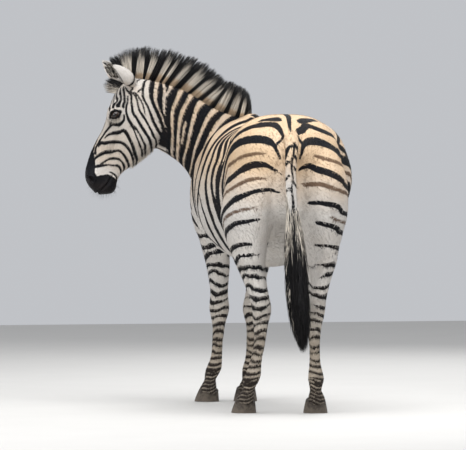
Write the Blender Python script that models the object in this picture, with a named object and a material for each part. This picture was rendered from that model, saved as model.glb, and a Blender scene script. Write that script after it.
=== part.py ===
"""Plains zebra, adult, standing with the neck arched round to its left and the nose down. Metres, +Z up, +Y forward along the body, +X the animal's right."""

import math

import bmesh
import bpy
import numpy as np
from mathutils import Matrix, Vector

for obj in list(bpy.data.objects):
    bpy.data.objects.remove(obj, do_unlink=True)

# --- driving sizes -------------------------------------------------------------------------------------------------
GAP = 0.0003                 # clear joint between neighbouring pieces
VOXEL = 0.010                # grain of the joined body before it is thinned out
BODY_TRIANGLES = 5400        # of the whole flesh before it is parted
ORIGIN = (-0.0887, 0.5382)          # middle of the whole outline in plan, counted from the hind feet's centre

# trunk: y, left edge, right edge, top, height of the widest part, bottom, squareness above, squareness below
TRUNK = (
    (-0.175, -0.02, 0.09, 1.130, 1.02, 0.93, 2.0, 2.0),
    (-0.150, -0.09, 0.16, 1.165, 1.02, 0.86, 2.2, 2.0),
    (-0.080, -0.165, 0.235, 1.222, 1.02, 0.82, 2.4, 2.0),
    (0.000, -0.190, 0.278, 1.264, 1.01, 0.80, 2.6, 2.0),
    (0.100, -0.203, 0.300, 1.286, 1.00, 0.755, 2.8, 2.0),
    (0.200, -0.200, 0.330, 1.288, 0.99, 0.700, 2.7, 2.0),
    (0.300, -0.190, 0.398, 1.272, 1.00, 0.655, 2.6, 1.7),
    (0.400, -0.198, 0.418, 1.254, 1.00, 0.625, 2.5, 1.65),
    (0.500, -0.212, 0.404, 1.243, 0.98, 0.612, 2.4, 1.8),
    (0.600, -0.216, 0.374, 1.244, 0.96, 0.612, 2.3, 1.9),
    (0.700, -0.210, 0.345, 1.262, 0.93, 0.628, 2.1, 2.1),
    (0.800, -0.196, 0.305, 1.270, 0.94, 0.652, 2.0, 2.0),
    (0.900, -0.178, 0.255, 1.245, 0.94, 0.680, 2.0, 2.0),
    (1.000, -0.160, 0.205, 1.180, 0.94, 0.715, 2.0, 2.0),
    (1.080, -0.125, 0.155, 1.100, 0.93, 0.780, 2.0, 2.0),
    (1.130, -0.060, 0.080, 1.000, 0.92, 0.850, 2.0, 2.0),
)
# neck: crest point, throat point, half width above, half width below
NECK = (
    ((0.066, 0.720, 1.235), (0.030, 0.980, 0.780), 0.100, 0.200),
    ((0.055, 0.800, 1.268), (0.000, 1.070, 0.830), 0.090, 0.185),
    ((0.016, 0.880, 1.283), (-0.030, 1.110, 0.885), 0.080, 0.160),
    ((-0.057, 1.000, 1.324), (-0.085, 1.165, 0.985), 0.066, 0.122),
    ((-0.140, 1.080, 1.386), (-0.150, 1.190, 1.055), 0.056, 0.100),
    ((-0.221, 1.130, 1.422), (-0.200, 1.210, 1.090), 0.052, 0.090),
    ((-0.290, 1.160, 1.440), (-0.235, 1.215, 1.108), 0.050, 0.084),
    ((-0.350, 1.180, 1.446), (-0.262, 1.218, 1.122), 0.050, 0.080),
    ((-0.395, 1.195, 1.430), (-0.300, 1.215, 1.160), 0.048, 0.070),
)
# head frame: poll, unit vectors to the nose, out of the forehead and to the animal's left
POLL = Vector((-0.3755, 1.200, 1.430))
NOSEWARD = Vector((-0.3531, 0.0881, -0.9310)).normalized()
BROW = Vector((-0.9031, 0.2253, 0.3640)).normalized()
LEFT = BROW.cross(NOSEWARD).normalized()
# head: distance from the poll, forehead side, jaw side, half width at the forehead, half width at the jaw
HEAD = (
    (-0.020, 0.000, -0.150, 0.045, 0.050),
    (0.010, 0.030, -0.190, 0.062, 0.066),
    (0.050, 0.053, -0.206, 0.078, 0.070),
    (0.100, 0.064, -0.212, 0.088, 0.070),
    (0.160, 0.062, -0.214, 0.092, 0.068),
    (0.210, 0.057, -0.208, 0.085, 0.064),
    (0.260, 0.056, -0.192, 0.070, 0.058),
    (0.310, 0.064, -0.165, 0.058, 0.050),
    (0.360, 0.068, -0.135, 0.051, 0.044),
    (0.400, 0.067, -0.106, 0.048, 0.041),
    (0.440, 0.063, -0.096, 0.050, 0.040),
    (0.475, 0.055, -0.104, 0.054, 0.042),
    (0.505, 0.034, -0.094, 0.052, 0.040),
    (0.525, 0.004, -0.066, 0.040, 0.030),
    (0.534, -0.020, -0.045, 0.018, 0.014),
)
EYE = (0.172, 0.0220, 0.0850)  # along the head, out of the forehead axis, to the side
EYE_RADIUS = 0.0235
# hind leg: height, forward of the hoof, half width, half depth
HIND = (
    (1.150, 0.035, 0.070, 0.110),
    (1.080, 0.030, 0.100, 0.170),
    (1.000, 0.020, 0.113, 0.205),
    (0.920, 0.020, 0.115, 0.214),
    (0.850, 0.028, 0.112, 0.214),
    (0.780, 0.036, 0.096, 0.200),
    (0.710, 0.024, 0.077, 0.165),
    (0.650, -0.004, 0.064, 0.124),
    (0.590, -0.034, 0.054, 0.092),
    (0.540, -0.064, 0.048, 0.074),
    (0.500, -0.088, 0.044, 0.066),
    (0.460, -0.094, 0.046, 0.058),
    (0.420, -0.090, 0.042, 0.048),
    (0.380, -0.086, 0.034, 0.040),
    (0.300, -0.082, 0.027, 0.034),
    (0.220, -0.078, 0.028, 0.035),
    (0.175, -0.080, 0.035, 0.041),
    (0.145, -0.072, 0.038, 0.044),
    (0.115, -0.056, 0.031, 0.036),
    (0.085, -0.037, 0.034, 0.037),
    (0.060, -0.025, 0.041, 0.044),
    (0.028, -0.018, 0.038, 0.040),
)
# fore leg: height, forward of the hoof, half width, half depth
FORE = (
    (0.980, -0.060, 0.060, 0.130),
    (0.900, -0.070, 0.075, 0.135),
    (0.820, -0.075, 0.078, 0.125),
    (0.740, -0.070, 0.070, 0.105),
    (0.660, -0.055, 0.060, 0.082),
    (0.580, -0.044, 0.051, 0.064),
    (0.500, -0.036, 0.042, 0.050),
    (0.455, -0.030, 0.046, 0.046),
    (0.415, -0.026, 0.048, 0.048),
    (0.375, -0.034, 0.039, 0.044),
    (0.335, -0.044, 0.029, 0.037),
    (0.270, -0.050, 0.026, 0.034),
    (0.200, -0.056, 0.027, 0.034),
    (0.165, -0.058, 0.034, 0.039),
    (0.138, -0.052, 0.036, 0.041),
    (0.108, -0.040, 0.030, 0.034),
    (0.082, -0.030, 0.034, 0.037),
    (0.060, -0.022, 0.041, 0.044),
    (0.028, -0.018, 0.038, 0.040),
)
# each leg: hoof x, hoof y, toe turned out (degrees), and x of its middle at five heights
LEGS = {
    "hindleg_left": (HIND, -0.152, 0.037, 12.0, ((0.10, -0.146), (0.20, -0.124), (0.30, -0.102), (0.45, -0.096), (0.65, -0.127), (0.85, -0.127), (1.0, -0.104), (1.15, -0.080))),
    "hindleg_right": (HIND, 0.147, -0.037, -14.0, ((0.10, 0.136), (0.20, 0.126), (0.35, 0.121), (0.47, 0.124), (0.65, 0.172), (0.85, 0.174), (1.0, 0.172), (1.15, 0.158))),
    "foreleg_left": (FORE, -0.088, 0.995, 22.0, ((0.10, -0.083), (0.20, -0.058), (0.42, -0.037), (0.60, -0.048), (0.80, -0.083), (1.0, -0.095))),
    "foreleg_right": (FORE, 0.086, 0.990, -6.0, ((0.10, 0.088), (0.20, 0.098), (0.42, 0.113), (0.60, 0.132), (0.80, 0.152), (1.0, 0.150))),
}
HOOF_LENGTH = 0.128
HOOF_WIDTH = 0.106
TOE_HEIGHT = 0.078
HEEL_HEIGHT = 0.036
# muscle and bone that stand out of the sections: centre, half sizes, turn about Z, tilt about X (degrees)
BODY_SWELLS = (
    ((-0.110, 0.900, 0.930), (0.075, 0.135, 0.220), 0, 12),
    ((0.160, 0.900, 0.930), (0.090, 0.135, 0.220), 0, 12),
    ((-0.035, 1.055, 0.905), (0.090, 0.095, 0.130), 0, 0),
    ((0.078, 1.040, 0.905), (0.090, 0.092, 0.130), 0, 0),
    ((0.062, 0.780, 1.200), (0.055, 0.170, 0.090), 3, 0),
    ((-0.100, 0.110, 1.130), (0.090, 0.150, 0.100), 0, -8),
    ((0.190, 0.110, 1.130), (0.090, 0.150, 0.100), 0, -8),
)
# swells of the head in its own frame (noseward, brow, side), for both sides: centre, half sizes
HEAD_SWELLS = (
    ((0.165, 0.026, 0.073), (0.056, 0.038, 0.029)),
    ((0.190, -0.110, 0.048), (0.085, 0.085, 0.030)),
    ((0.250, -0.006, 0.060), (0.080, 0.018, 0.016)),
    ((0.462, 0.014, 0.040), (0.038, 0.036, 0.021)),
)
TAIL = (  # down the dock and its hair: x, y, z, half width, half depth
    (0.012, -0.120, 1.190, 0.036, 0.034),
    (0.008, -0.170, 1.165, 0.033, 0.030),
    (-0.004, -0.208, 1.110, 0.030, 0.026),
    (-0.012, -0.232, 1.030, 0.028, 0.023),
    (-0.011, -0.241, 0.940, 0.030, 0.022),
    (-0.006, -0.245, 0.850, 0.036, 0.024),
    (-0.003, -0.246, 0.780, 0.043, 0.029),
    (0.000, -0.246, 0.720, 0.050, 0.035),
    (0.004, -0.246, 0.640, 0.056, 0.038),
    (0.010, -0.244, 0.540, 0.054, 0.036),
    (0.022, -0.242, 0.420, 0.046, 0.030),
    (0.034, -0.240, 0.320, 0.030, 0.020),
    (0.042, -0.238, 0.262, 0.012, 0.009),
)
TAIL_PARTING = 0.780         # height where the bare dock gives way to the long hair
# mane: where its roots stand beyond the neck's crest (noseward, brow), and its height along the whole run of roots
MANE_ROOTS_ON_HEAD = ((-0.010, 0.018), (0.020, 0.040), (0.048, 0.054))
MANE_HEIGHT = ((0.10, 0.020), (0.135, 0.100), (0.22, 0.128), (0.36, 0.142), (0.55, 0.146), (0.72, 0.144), (0.86, 0.136), (0.95, 0.116), (1.0, 0.080))
MANE_HALF_BASE = 0.021
MANE_HALF_TIP = 0.008
FORELOCK = ((0.040, 0.046), (0.092, 0.054), (0.104, 0.098), (0.082, 0.124), (0.052, 0.110))  # its side outline on the forehead
FORELOCK_HALF = 0.018
# ears, in the head's frame (noseward, brow, side): root, tip, way the cup opens
EARS = {
    "ear_left": ((0.008, 0.006, 0.058), (-0.030, 0.108, 0.150), (0.45, 0.60, -0.35)),
    "ear_right": ((0.028, 0.036, -0.050), (-0.030, 0.168, -0.125), (0.20, 0.25, 0.90)),
}
EAR_WALL = 0.0045
EAR_FORM = ((0.0, 0.022, 150.0), (0.15, 0.029, 140.0), (0.35, 0.034, 118.0), (0.6, 0.032, 98.0), (0.82, 0.026, 88.0), (0.94, 0.018, 84.0), (1.0, 0.008, 80.0))  # share of the length, radius, half the wrap
COLOURS = {"coat": (0.62, 0.56, 0.47, 1), "dark": (0.03, 0.028, 0.027, 1), "horn": (0.09, 0.075, 0.06, 1), "eye": (0.015, 0.01, 0.008, 1)}


# --- making closed meshes ------------------------------------------------------------------------------------------
def curve(keys, count):
    """Rows on a smooth curve through the key rows."""
    keys = np.array(keys, float)
    padded = np.vstack([2 * keys[0] - keys[1], keys, 2 * keys[-1] - keys[-2]])
    rows = []
    for t in np.linspace(0, len(keys) - 1, count):
        i = min(int(t), len(keys) - 2)
        f = t - i
        a, b, c, d = padded[i : i + 4]
        rows.append(0.5 * (2 * b + (c - a) * f + (2 * a - 5 * b + 4 * c - d) * f * f + (3 * b - a - 3 * c + d) * f**3))
    return np.array(rows)


def oval(centre, side, up, half_low, half_high, top, bottom, square_top=2.0, square_bottom=2.0, count=40):
    """A ring: half widths to the two sides may differ with height."""
    ring = []
    for k in range(count):
        angle = 2 * math.pi * k / count
        c, s = math.cos(angle), math.sin(angle)
        square = square_top if s > 0 else square_bottom
        width = half_low + (half_high - half_low) * (s + 1) / 2
        ring.append(
            np.array(centre)
            + np.array(side) * math.copysign(abs(c) ** (2 / square), c) * width
            + np.array(up) * (abs(s) ** (2 / square)) * (top if s > 0 else -bottom)
        )
    return ring


def add_rings(shell, rings):
    """Adds a closed tube through the rings to the shell (vertices, faces)."""
    points, faces = shell
    start, n = len(points), len(rings[0])
    for ring in rings:
        points.extend(tuple(p) for p in ring)
    for r in range(len(rings) - 1):
        for k in range(n):
            a, b = start + r * n + k, start + r * n + (k + 1) % n
            faces.append((a, b, b + n, a + n))
    for ring, at in ((rings[0], 0), (rings[-1], len(rings) - 1)):
        hub = len(points)
        points.append(tuple(np.mean(ring, axis=0)))
        for k in range(n):
            a, b = start + at * n + k, start + at * n + (k + 1) % n
            faces.append((b, a, hub) if at == 0 else (a, b, hub))
    return shell


def add_ball(shell, centre, halves, axes=None, turn=0.0, tilt=0.0, count=24):
    """Adds an ellipsoid whose half sizes lie along the axes."""
    if axes is None:
        spin = Matrix.Rotation(math.radians(turn), 3, "Z") @ Matrix.Rotation(math.radians(tilt), 3, "X")
        axes = [spin.col[i] for i in range(3)]
    rings = []
    for r in range(1, count // 2):
        polar = math.pi * r / (count // 2)
        ring = []
        for k in range(count):
            a = 2 * math.pi * k / count
            local = (math.sin(polar) * math.cos(a) * halves[0], math.sin(polar) * math.sin(a) * halves[1], math.cos(polar) * halves[2])
            ring.append(np.array(centre) + sum(np.array(axes[i]) * local[i] for i in range(3)))
        rings.append(ring)
    return add_rings(shell, rings)


def mesh_object(name, shell, colour="coat"):
    mesh = bpy.data.meshes.new(name)
    mesh.from_pydata([tuple(map(float, p)) for p in shell[0]], [], shell[1])
    obj = bpy.data.objects.new(name, mesh)
    bpy.context.scene.collection.objects.link(obj)
    tidy(obj)
    paint(obj, colour)
    return obj


def tidy(obj):
    work = bmesh.new()
    work.from_mesh(obj.data)
    bmesh.ops.remove_doubles(work, verts=work.verts, dist=1e-5)
    bmesh.ops.recalc_face_normals(work, faces=work.faces)
    if work.calc_volume(signed=True) < 0:
        bmesh.ops.reverse_faces(work, faces=work.faces)
    work.to_mesh(obj.data)
    work.free()


def paint(obj, colour):
    material = bpy.data.materials.new(obj.name)
    material.use_nodes = True
    shader = material.node_tree.nodes["Principled BSDF"]
    shader.inputs["Base Color"].default_value = COLOURS[colour]
    shader.inputs["Roughness"].default_value = 0.1 if colour == "eye" else 0.75
    obj.data.materials.clear()
    obj.data.materials.append(material)


def applied(obj, kind, **settings):
    """Puts one modifier on the object's mesh for good."""
    modifier = obj.modifiers.new(kind.lower(), kind)
    for key, value in settings.items():
        setattr(modifier, key, value)
    graph = bpy.context.evaluated_depsgraph_get()
    mesh = bpy.data.meshes.new_from_object(obj.evaluated_get(graph))
    obj.modifiers.clear()
    obj.data = mesh
    return obj


def cut(obj, cutter, operation="DIFFERENCE", keep=False):
    applied(obj, "BOOLEAN", operation=operation, solver="EXACT", object=cutter)
    if not keep:
        bpy.data.objects.remove(cutter, do_unlink=True)
    return obj


def slab(centre, along, up, length, width, thickness):
    """A thin plate: its normal is along x up."""
    along, up = Vector(along).normalized(), Vector(up).normalized()
    normal = along.cross(up).normalized()
    up = normal.cross(along)
    points = []
    for n in (-0.5, 0.5):
        for a, b in ((-0.5, -0.5), (0.5, -0.5), (0.5, 0.5), (-0.5, 0.5)):
            points.append(Vector(centre) + along * a * length + up * b * width + normal * n * thickness)
    faces = [(0, 1, 2, 3), (7, 6, 5, 4), (0, 4, 5, 1), (1, 5, 6, 2), (2, 6, 7, 3), (3, 7, 4, 0)]
    return mesh_object("plate", (points, faces))


def loose_pieces(obj):
    """The object's separate closed shells, each as (centre of its box, object)."""
    work = bmesh.new()
    work.from_mesh(obj.data)
    work.verts.ensure_lookup_table()
    seen, found = set(), []
    for start in work.verts:
        if start.index in seen:
            continue
        stack, island = [start], []
        seen.add(start.index)
        while stack:
            vert = stack.pop()
            island.append(vert)
            for edge in vert.link_edges:
                other = edge.other_vert(vert)
                if other.index not in seen:
                    seen.add(other.index)
                    stack.append(other)
        order = {v.index: i for i, v in enumerate(island)}
        faces = {f for v in island for f in v.link_faces}
        points = [v.co.copy() for v in island]
        if len(points) < 8:
            continue
        piece = mesh_object("piece", (points, [tuple(order[v.index] for v in f.verts) for f in sorted(faces, key=lambda f: f.index)]))
        found.append((sum(points, Vector()) / len(points), piece))
    work.free()
    bpy.data.objects.remove(obj, do_unlink=True)
    return found


def in_head(noseward, brow, side):
    return POLL + NOSEWARD * noseward + BROW * brow + LEFT * side


# --- the whole flesh ----------------------------------------------------------------------------------------------
flesh = ([], [])

rings = []
for y, left, right, top, wide, bottom, square_top, square_bottom in curve(TRUNK, 60):
    middle = (left + right) / 2
    rings.append(oval((middle, y, wide), (1, 0, 0), (0, 0, 1), (right - left) / 2, (right - left) / 2, top - wide, wide - bottom, square_top, square_bottom, 56))
add_rings(flesh, rings)

neck_rows = curve([(*crest, *throat, high, low) for crest, throat, high, low in NECK], 48)
middles = (neck_rows[:, 0:3] + neck_rows[:, 3:6]) / 2
ways = np.gradient(middles, axis=0)
rings = []
for row, way in zip(neck_rows, ways):
    up = row[0:3] - row[3:6]
    side = np.cross(way, up)
    side /= np.linalg.norm(side)
    half = np.linalg.norm(up) / 2
    rings.append(oval((row[0:3] + row[3:6]) / 2, side, up / np.linalg.norm(up), row[7], row[6], half, half, 2.0, 2.3, 48))
add_rings(flesh, rings)

rings = []
for along, brow, jaw, high, low in curve(HEAD, 44):
    centre = in_head(along, (brow + jaw) / 2, 0)
    rings.append(oval(centre, LEFT, BROW, low, high, (brow - jaw) / 2, (brow - jaw) / 2, 2.5, 2.4, 40))
add_rings(flesh, rings)
for centre, halves in HEAD_SWELLS:
    for side in (1, -1):
        add_ball(flesh, in_head(centre[0], centre[1], centre[2] * side), halves, (NOSEWARD, BROW, LEFT))

for centre, halves, turn, tilt in BODY_SWELLS:
    add_ball(flesh, centre, halves, None, turn, tilt)

for profile, hoof_x, hoof_y, toe_out, sway in LEGS.values():
    heights = [h for h, _ in sway]
    shifts = [s for _, s in sway]
    rings = []
    turn = math.radians(toe_out)
    for z, forward, half_width, half_depth in curve(profile, 70):
        x = np.interp(z, [0.06] + heights, [hoof_x] + shifts)
        low = max(0.0, min(1.0, (0.55 - z) / 0.4)) * turn
        side = (math.cos(low), math.sin(low), 0)
        front = (-math.sin(low), math.cos(low), 0)
        rings.append(oval((x, hoof_y + forward, z), side, front, half_width, half_width, half_depth, half_depth, 2.2, 2.0, 32))
    add_rings(flesh, rings[::-1])

body = mesh_object("body", flesh)
applied(body, "REMESH", mode="VOXEL", voxel_size=VOXEL)
applied(body, "SMOOTH", factor=0.6, iterations=5)
applied(body, "DECIMATE", ratio=BODY_TRIANGLES / (2.0 * len(body.data.polygons)))
tidy(body)


def swollen(obj, by=0.0005):
    """A copy of the object, a little larger all over, that keeps a neighbouring piece off it."""
    copy = mesh_object("swollen", ([v.co.copy() for v in obj.data.vertices], [tuple(p.vertices) for p in obj.data.polygons]))
    return applied(copy, "DISPLACE", strength=by, mid_level=0.0)


def keep_largest(obj, name, colour):
    pieces = loose_pieces(obj)
    pieces.sort(key=lambda found: len(found[1].data.vertices))
    for _, extra in pieces[:-1]:
        bpy.data.objects.remove(extra, do_unlink=True)
    piece = pieces[-1][1]
    piece.name = piece.data.name = name
    paint(piece, colour)
    return piece


# --- mane and forelock --------------------------------------------------------------------------------------------
crest = [Vector(row[0:3]) for row in neck_rows[:44:3]]
crest_up = [(Vector(row[0:3]) - Vector(row[3:6])).normalized() for row in neck_rows[:44:3]]
crest += [in_head(a, b, 0) for a, b in MANE_ROOTS_ON_HEAD]
crest_up += [(BROW * 0.55 - NOSEWARD * 0.85).normalized()] * len(MANE_ROOTS_ON_HEAD)
mane_run = curve([(*p, *u) for p, u in zip(crest, crest_up)], 22)
lengths = np.concatenate([[0], np.cumsum(np.linalg.norm(np.diff(mane_run[:, :3], axis=0), axis=1))])
shares = lengths / lengths[-1]
rings = []
for i, (row, share) in enumerate(zip(mane_run, shares)):
    height = np.interp(share, [s for s, _ in MANE_HEIGHT], [h for _, h in MANE_HEIGHT])
    ahead = Vector(mane_run[min(i + 1, len(mane_run) - 1), :3]) - Vector(mane_run[max(i - 1, 0), :3])
    ahead.normalize()
    up = Vector(row[3:6])
    up = (up - ahead * up.dot(ahead)).normalized()
    side = ahead.cross(up)
    root = Vector(row[:3]) - up * 0.020
    outline = ((1, 0.0), (1, 0.45), (0.45, 1.0), (-0.45, 1.0), (-1, 0.45), (-1, 0.0))
    ring = []
    for across, rise in outline:
        half = MANE_HALF_BASE if rise < 0.9 else MANE_HALF_TIP / 0.45
        ring.append(root + side * across * half + up * rise * (height + 0.020))
    rings.append(ring)
mane = mesh_object("mane", add_rings(([], []), rings))
cut(mane, swollen(body))
mane = keep_largest(mane, "mane", "dark")

rings = []
for side in (-1.0, -0.4, 0.4, 1.0):
    shrink = 1.0 - 0.35 * abs(side) ** 2
    middle = [sum(p[k] for p in FORELOCK) / len(FORELOCK) for k in (0, 1)]
    rings.append([in_head(middle[0] + (p[0] - middle[0]) * shrink, p[1] * (shrink if p[1] > 0.1 else 1) - (0.014 if p[1] < 0.1 else 0), side * FORELOCK_HALF) for p in FORELOCK])
forelock = mesh_object("forelock", add_rings(([], []), rings))
cut(forelock, swollen(body))
forelock = keep_largest(forelock, "forelock", "dark")
cut(mane, swollen(forelock))

# --- ears ---------------------------------------------------------------------------------------------------------
for name, (root, tip, opening) in EARS.items():
    root, tip = in_head(*root), in_head(*tip)
    along = (tip - root).normalized()
    length = (tip - root).length
    root = root - along * 0.012
    facing = NOSEWARD * opening[0] + BROW * opening[1] + LEFT * opening[2]
    facing = (facing - along * facing.dot(along)).normalized()
    across = along.cross(facing)
    form = curve(EAR_FORM, 7)
    grids = []
    for inset in (0.0, EAR_WALL):
        grid = []
        for share, radius, wrap in form:
            wrap = math.radians(wrap)
            row = []
            for k in range(9):
                a = wrap * (2 * k / 8 - 1)
                reach = max(radius - inset, 0.0012)
                row.append(root + along * (share * (length + 0.012) - inset * share) + (across * math.sin(a) * reach - facing * math.cos(a) * reach * 0.8))
            grid.append(row)
        grids.append(grid)
    points = [p for grid in grids for row in grid for p in row]
    rows, columns = len(form), 9
    faces = []

    def at(layer, r, c):
        return (layer * rows + r) * columns + c

    for r in range(rows - 1):
        for c in range(columns - 1):
            faces.append((at(0, r, c), at(0, r, c + 1), at(0, r + 1, c + 1), at(0, r + 1, c)))
            faces.append((at(1, r, c), at(1, r + 1, c), at(1, r + 1, c + 1), at(1, r, c + 1)))
        for c in (0, columns - 1):
            faces.append((at(0, r, c), at(0, r + 1, c), at(1, r + 1, c), at(1, r, c)))
    for c in range(columns - 1):
        faces.append((at(0, 0, c), at(1, 0, c), at(1, 0, c + 1), at(0, 0, c + 1)))
        faces.append((at(0, rows - 1, c), at(0, rows - 1, c + 1), at(1, rows - 1, c + 1), at(1, rows - 1, c)))
    ear = mesh_object(name, (points, faces))
    cut(ear, swollen(body))
    cut(ear, swollen(mane))
    cut(ear, swollen(forelock))
    keep_largest(ear, name, "coat")

# --- tail ---------------------------------------------------------------------------------------------------------
rings = []
tail_rows = curve(TAIL, 20)
tail_ways = np.gradient(tail_rows[:, :3], axis=0)
for row, way in zip(tail_rows, tail_ways):
    up = np.cross((1, 0, 0), way / np.linalg.norm(way))
    rings.append(oval(row[:3], (1, 0, 0), up, row[3], row[3], row[4], row[4], 2, 2, 12))
tail = mesh_object("tail", add_rings(([], []), rings))
cut(tail, slab((0.02, -0.24, TAIL_PARTING), (1, 0, 0), (0, 1, 0), 0.4, 0.3, GAP))
cut(tail, swollen(body))
for centre, piece in sorted(loose_pieces(tail), key=lambda found: -len(found[1].data.vertices))[:2]:
    low = centre.z < TAIL_PARTING
    piece.name = piece.data.name = "tail_tuft" if low else "tail_dock"
    paint(piece, "dark" if low else "coat")

# --- eyes in their sockets ----------------------------------------------------------------------------------------
for name, side in (("eye_left", 1), ("eye_right", -1)):
    centre = in_head(EYE[0], EYE[1], EYE[2] * side)
    mesh_object(name, add_ball(([], []), centre, (EYE_RADIUS,) * 3, (NOSEWARD, BROW, LEFT * side), 0, 0, 14), "eye")
    reach = EYE_RADIUS + 0.0006
    cut(body, mesh_object("socket", add_ball(([], []), centre, (reach,) * 3, (NOSEWARD, BROW, LEFT * side), 0, 0, 14)))

# --- hooves, and the legs trimmed to them --------------------------------------------------------------------------
for leg, (profile, hoof_x, hoof_y, toe_out, sway) in LEGS.items():
    turn = Matrix.Rotation(math.radians(toe_out), 3, "Z")
    rings = []
    for share, narrow, back in ((0.0, 1.0, 0.0), (0.12, 0.99, 0.02), (0.55, 0.90, 0.35), (1.0, 0.80, 0.72)):
        ring = []
        for k in range(20):
            a = 2 * math.pi * k / 20
            across, ahead = math.cos(a) * HOOF_WIDTH / 2, math.sin(a) * HOOF_LENGTH / 2
            ahead = ahead if ahead > 0 else ahead * 0.86
            lean = 0.055 * back
            x, y = across * narrow, (ahead * (1 - 0.26 * share)) - lean * (0.62 if ahead > 0 else 0.35)
            height = HEEL_HEIGHT + (TOE_HEIGHT - HEEL_HEIGHT) * (y + 0.075) / 0.115
            ring.append(Vector((hoof_x, hoof_y, 0)) + turn @ Vector((x, y, height * share)))
        rings.append(ring)
    mesh_object(leg.replace("leg", "hoof"), add_rings(([], []), rings), "horn")
    slope = (TOE_HEIGHT - HEEL_HEIGHT) / 0.115
    face = turn @ Vector((0, 1, slope))
    middle = Vector((hoof_x, hoof_y, 0)) + turn @ Vector((0, -0.0175, HEEL_HEIGHT + slope * 0.0575))
    normal = (turn @ Vector((0, -slope, 1))).normalized()
    cut(body, slab(middle + normal * (GAP - 0.05), turn @ Vector((1, 0, 0)), face, 0.19, 0.19, 0.1))

# --- the flesh parted into its named pieces ------------------------------------------------------------------------
leg_plane = slab((0.02, -0.02, 0.727), (1, 0, 0), (0, 1, -0.42), 0.75, 0.72, GAP)
cut(body, leg_plane)
cut(body, slab((0.04, 0.950, 0.645), (1, 0, 0), (0, 1, 0.15), 0.55, 0.30, GAP))
cut(body, slab((-0.05, 0.980, 1.065), (1, 0, 0), (0, -0.36, 0.57), 1.30, 0.75, GAP))
cut(body, slab((-0.306, 1.200, 1.290), LEFT, (-0.0872, 0.0218, 0.3685), 0.50, 0.62, GAP))
for centre, piece in loose_pieces(body):
    if len(piece.data.vertices) < 30:
        bpy.data.objects.remove(piece, do_unlink=True)
        continue
    if centre.z < 0.66:
        name = ("hind" if centre.y < 0.5 else "fore") + "leg_" + ("left" if centre.x < 0.03 else "right")
    elif centre.x < -0.36:
        name = "head"
    elif centre.y > 0.92:
        name = "neck"
    else:
        name = "trunk"
    piece.name = piece.data.name = name
    paint(piece, "coat")

# --- every piece moved so that the middle of the floor outline is the origin -----------------------------------------
for obj in bpy.data.objects:
    obj.data.transform(Matrix.Translation((-ORIGIN[0], -ORIGIN[1], 0)))
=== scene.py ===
"""Looks of a plains zebra, life size and standing: one skin with coat, mane, forelock, tail hair, eyes and hooves.

Metres, +Z up, +Y forward, +X the animal's right.
"""

import math

import bmesh
import bpy
import numpy as np
from mathutils import Matrix, Vector
from mathutils.bvhtree import BVHTree


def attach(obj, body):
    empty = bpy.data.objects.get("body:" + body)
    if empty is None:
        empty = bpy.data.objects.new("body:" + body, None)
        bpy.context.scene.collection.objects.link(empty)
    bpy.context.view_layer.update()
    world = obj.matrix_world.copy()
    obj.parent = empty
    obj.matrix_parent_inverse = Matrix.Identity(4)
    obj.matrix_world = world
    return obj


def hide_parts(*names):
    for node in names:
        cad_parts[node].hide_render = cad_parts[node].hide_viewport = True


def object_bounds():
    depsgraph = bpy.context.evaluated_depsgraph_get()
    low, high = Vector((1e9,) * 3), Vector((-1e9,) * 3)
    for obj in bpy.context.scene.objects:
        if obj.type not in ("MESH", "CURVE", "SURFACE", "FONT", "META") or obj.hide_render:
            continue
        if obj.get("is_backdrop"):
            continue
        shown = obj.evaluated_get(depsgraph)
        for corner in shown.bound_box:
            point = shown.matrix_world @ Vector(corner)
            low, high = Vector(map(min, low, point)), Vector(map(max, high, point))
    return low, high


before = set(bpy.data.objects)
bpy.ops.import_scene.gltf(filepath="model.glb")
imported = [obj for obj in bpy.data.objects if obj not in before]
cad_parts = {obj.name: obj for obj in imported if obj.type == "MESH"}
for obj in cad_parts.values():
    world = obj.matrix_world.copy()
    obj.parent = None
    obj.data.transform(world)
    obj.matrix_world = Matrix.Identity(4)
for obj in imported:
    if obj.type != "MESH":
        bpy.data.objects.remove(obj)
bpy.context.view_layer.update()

# --- skin -----------------------------------------------------------------------------------------------------------
# One closed hide over trunk, neck, head, ears, legs and dock. It is lofted over the muscle and bone, joined without
# a seam, drawn in by the depth of the coat, and worked finer on the face, where lids, nostrils and lips are folded.
HIND_FEET = Vector((0.0887, -0.5382, 0.0))     # the lofts are measured from the ground between the hind hooves
COAT_DEPTH = 0.003
GRAIN = 0.0120                                 # size of the hide's mesh on the trunk; half as large on neck and legs
LOWER_LEG = 0.66                               # height under which a leg stands free of the trunk
HIND_TO_FORE = 0.5                             # y between the hind pair and the fore pair


def thousandths(rows):
    """Rows written in thousandths: millimetres, or thousandths of a share."""
    return np.array(rows, float) / 1000


def read_off(value, rows, column=1):
    """A column of the rows at a value of their first column, which may rise or fall."""
    rows = np.asarray(rows, float)
    if rows[0, 0] > rows[-1, 0]:
        rows = rows[::-1]
    return np.interp(value, rows[:, 0], rows[:, column])


def unit(vectors):
    return vectors / np.linalg.norm(vectors, axis=1)[:, None]


def add_object(name, data):
    obj = bpy.data.objects.new(name, data)
    bpy.context.scene.collection.objects.link(obj)
    return obj


# the body's middle seen from above: y, x
MIDLINE = ((-0.25, 0.030), (-0.10, 0.035), (0.10, 0.048), (0.30, 0.085), (0.50, 0.090), (0.72, 0.068), (1.05, 0.020))
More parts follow.
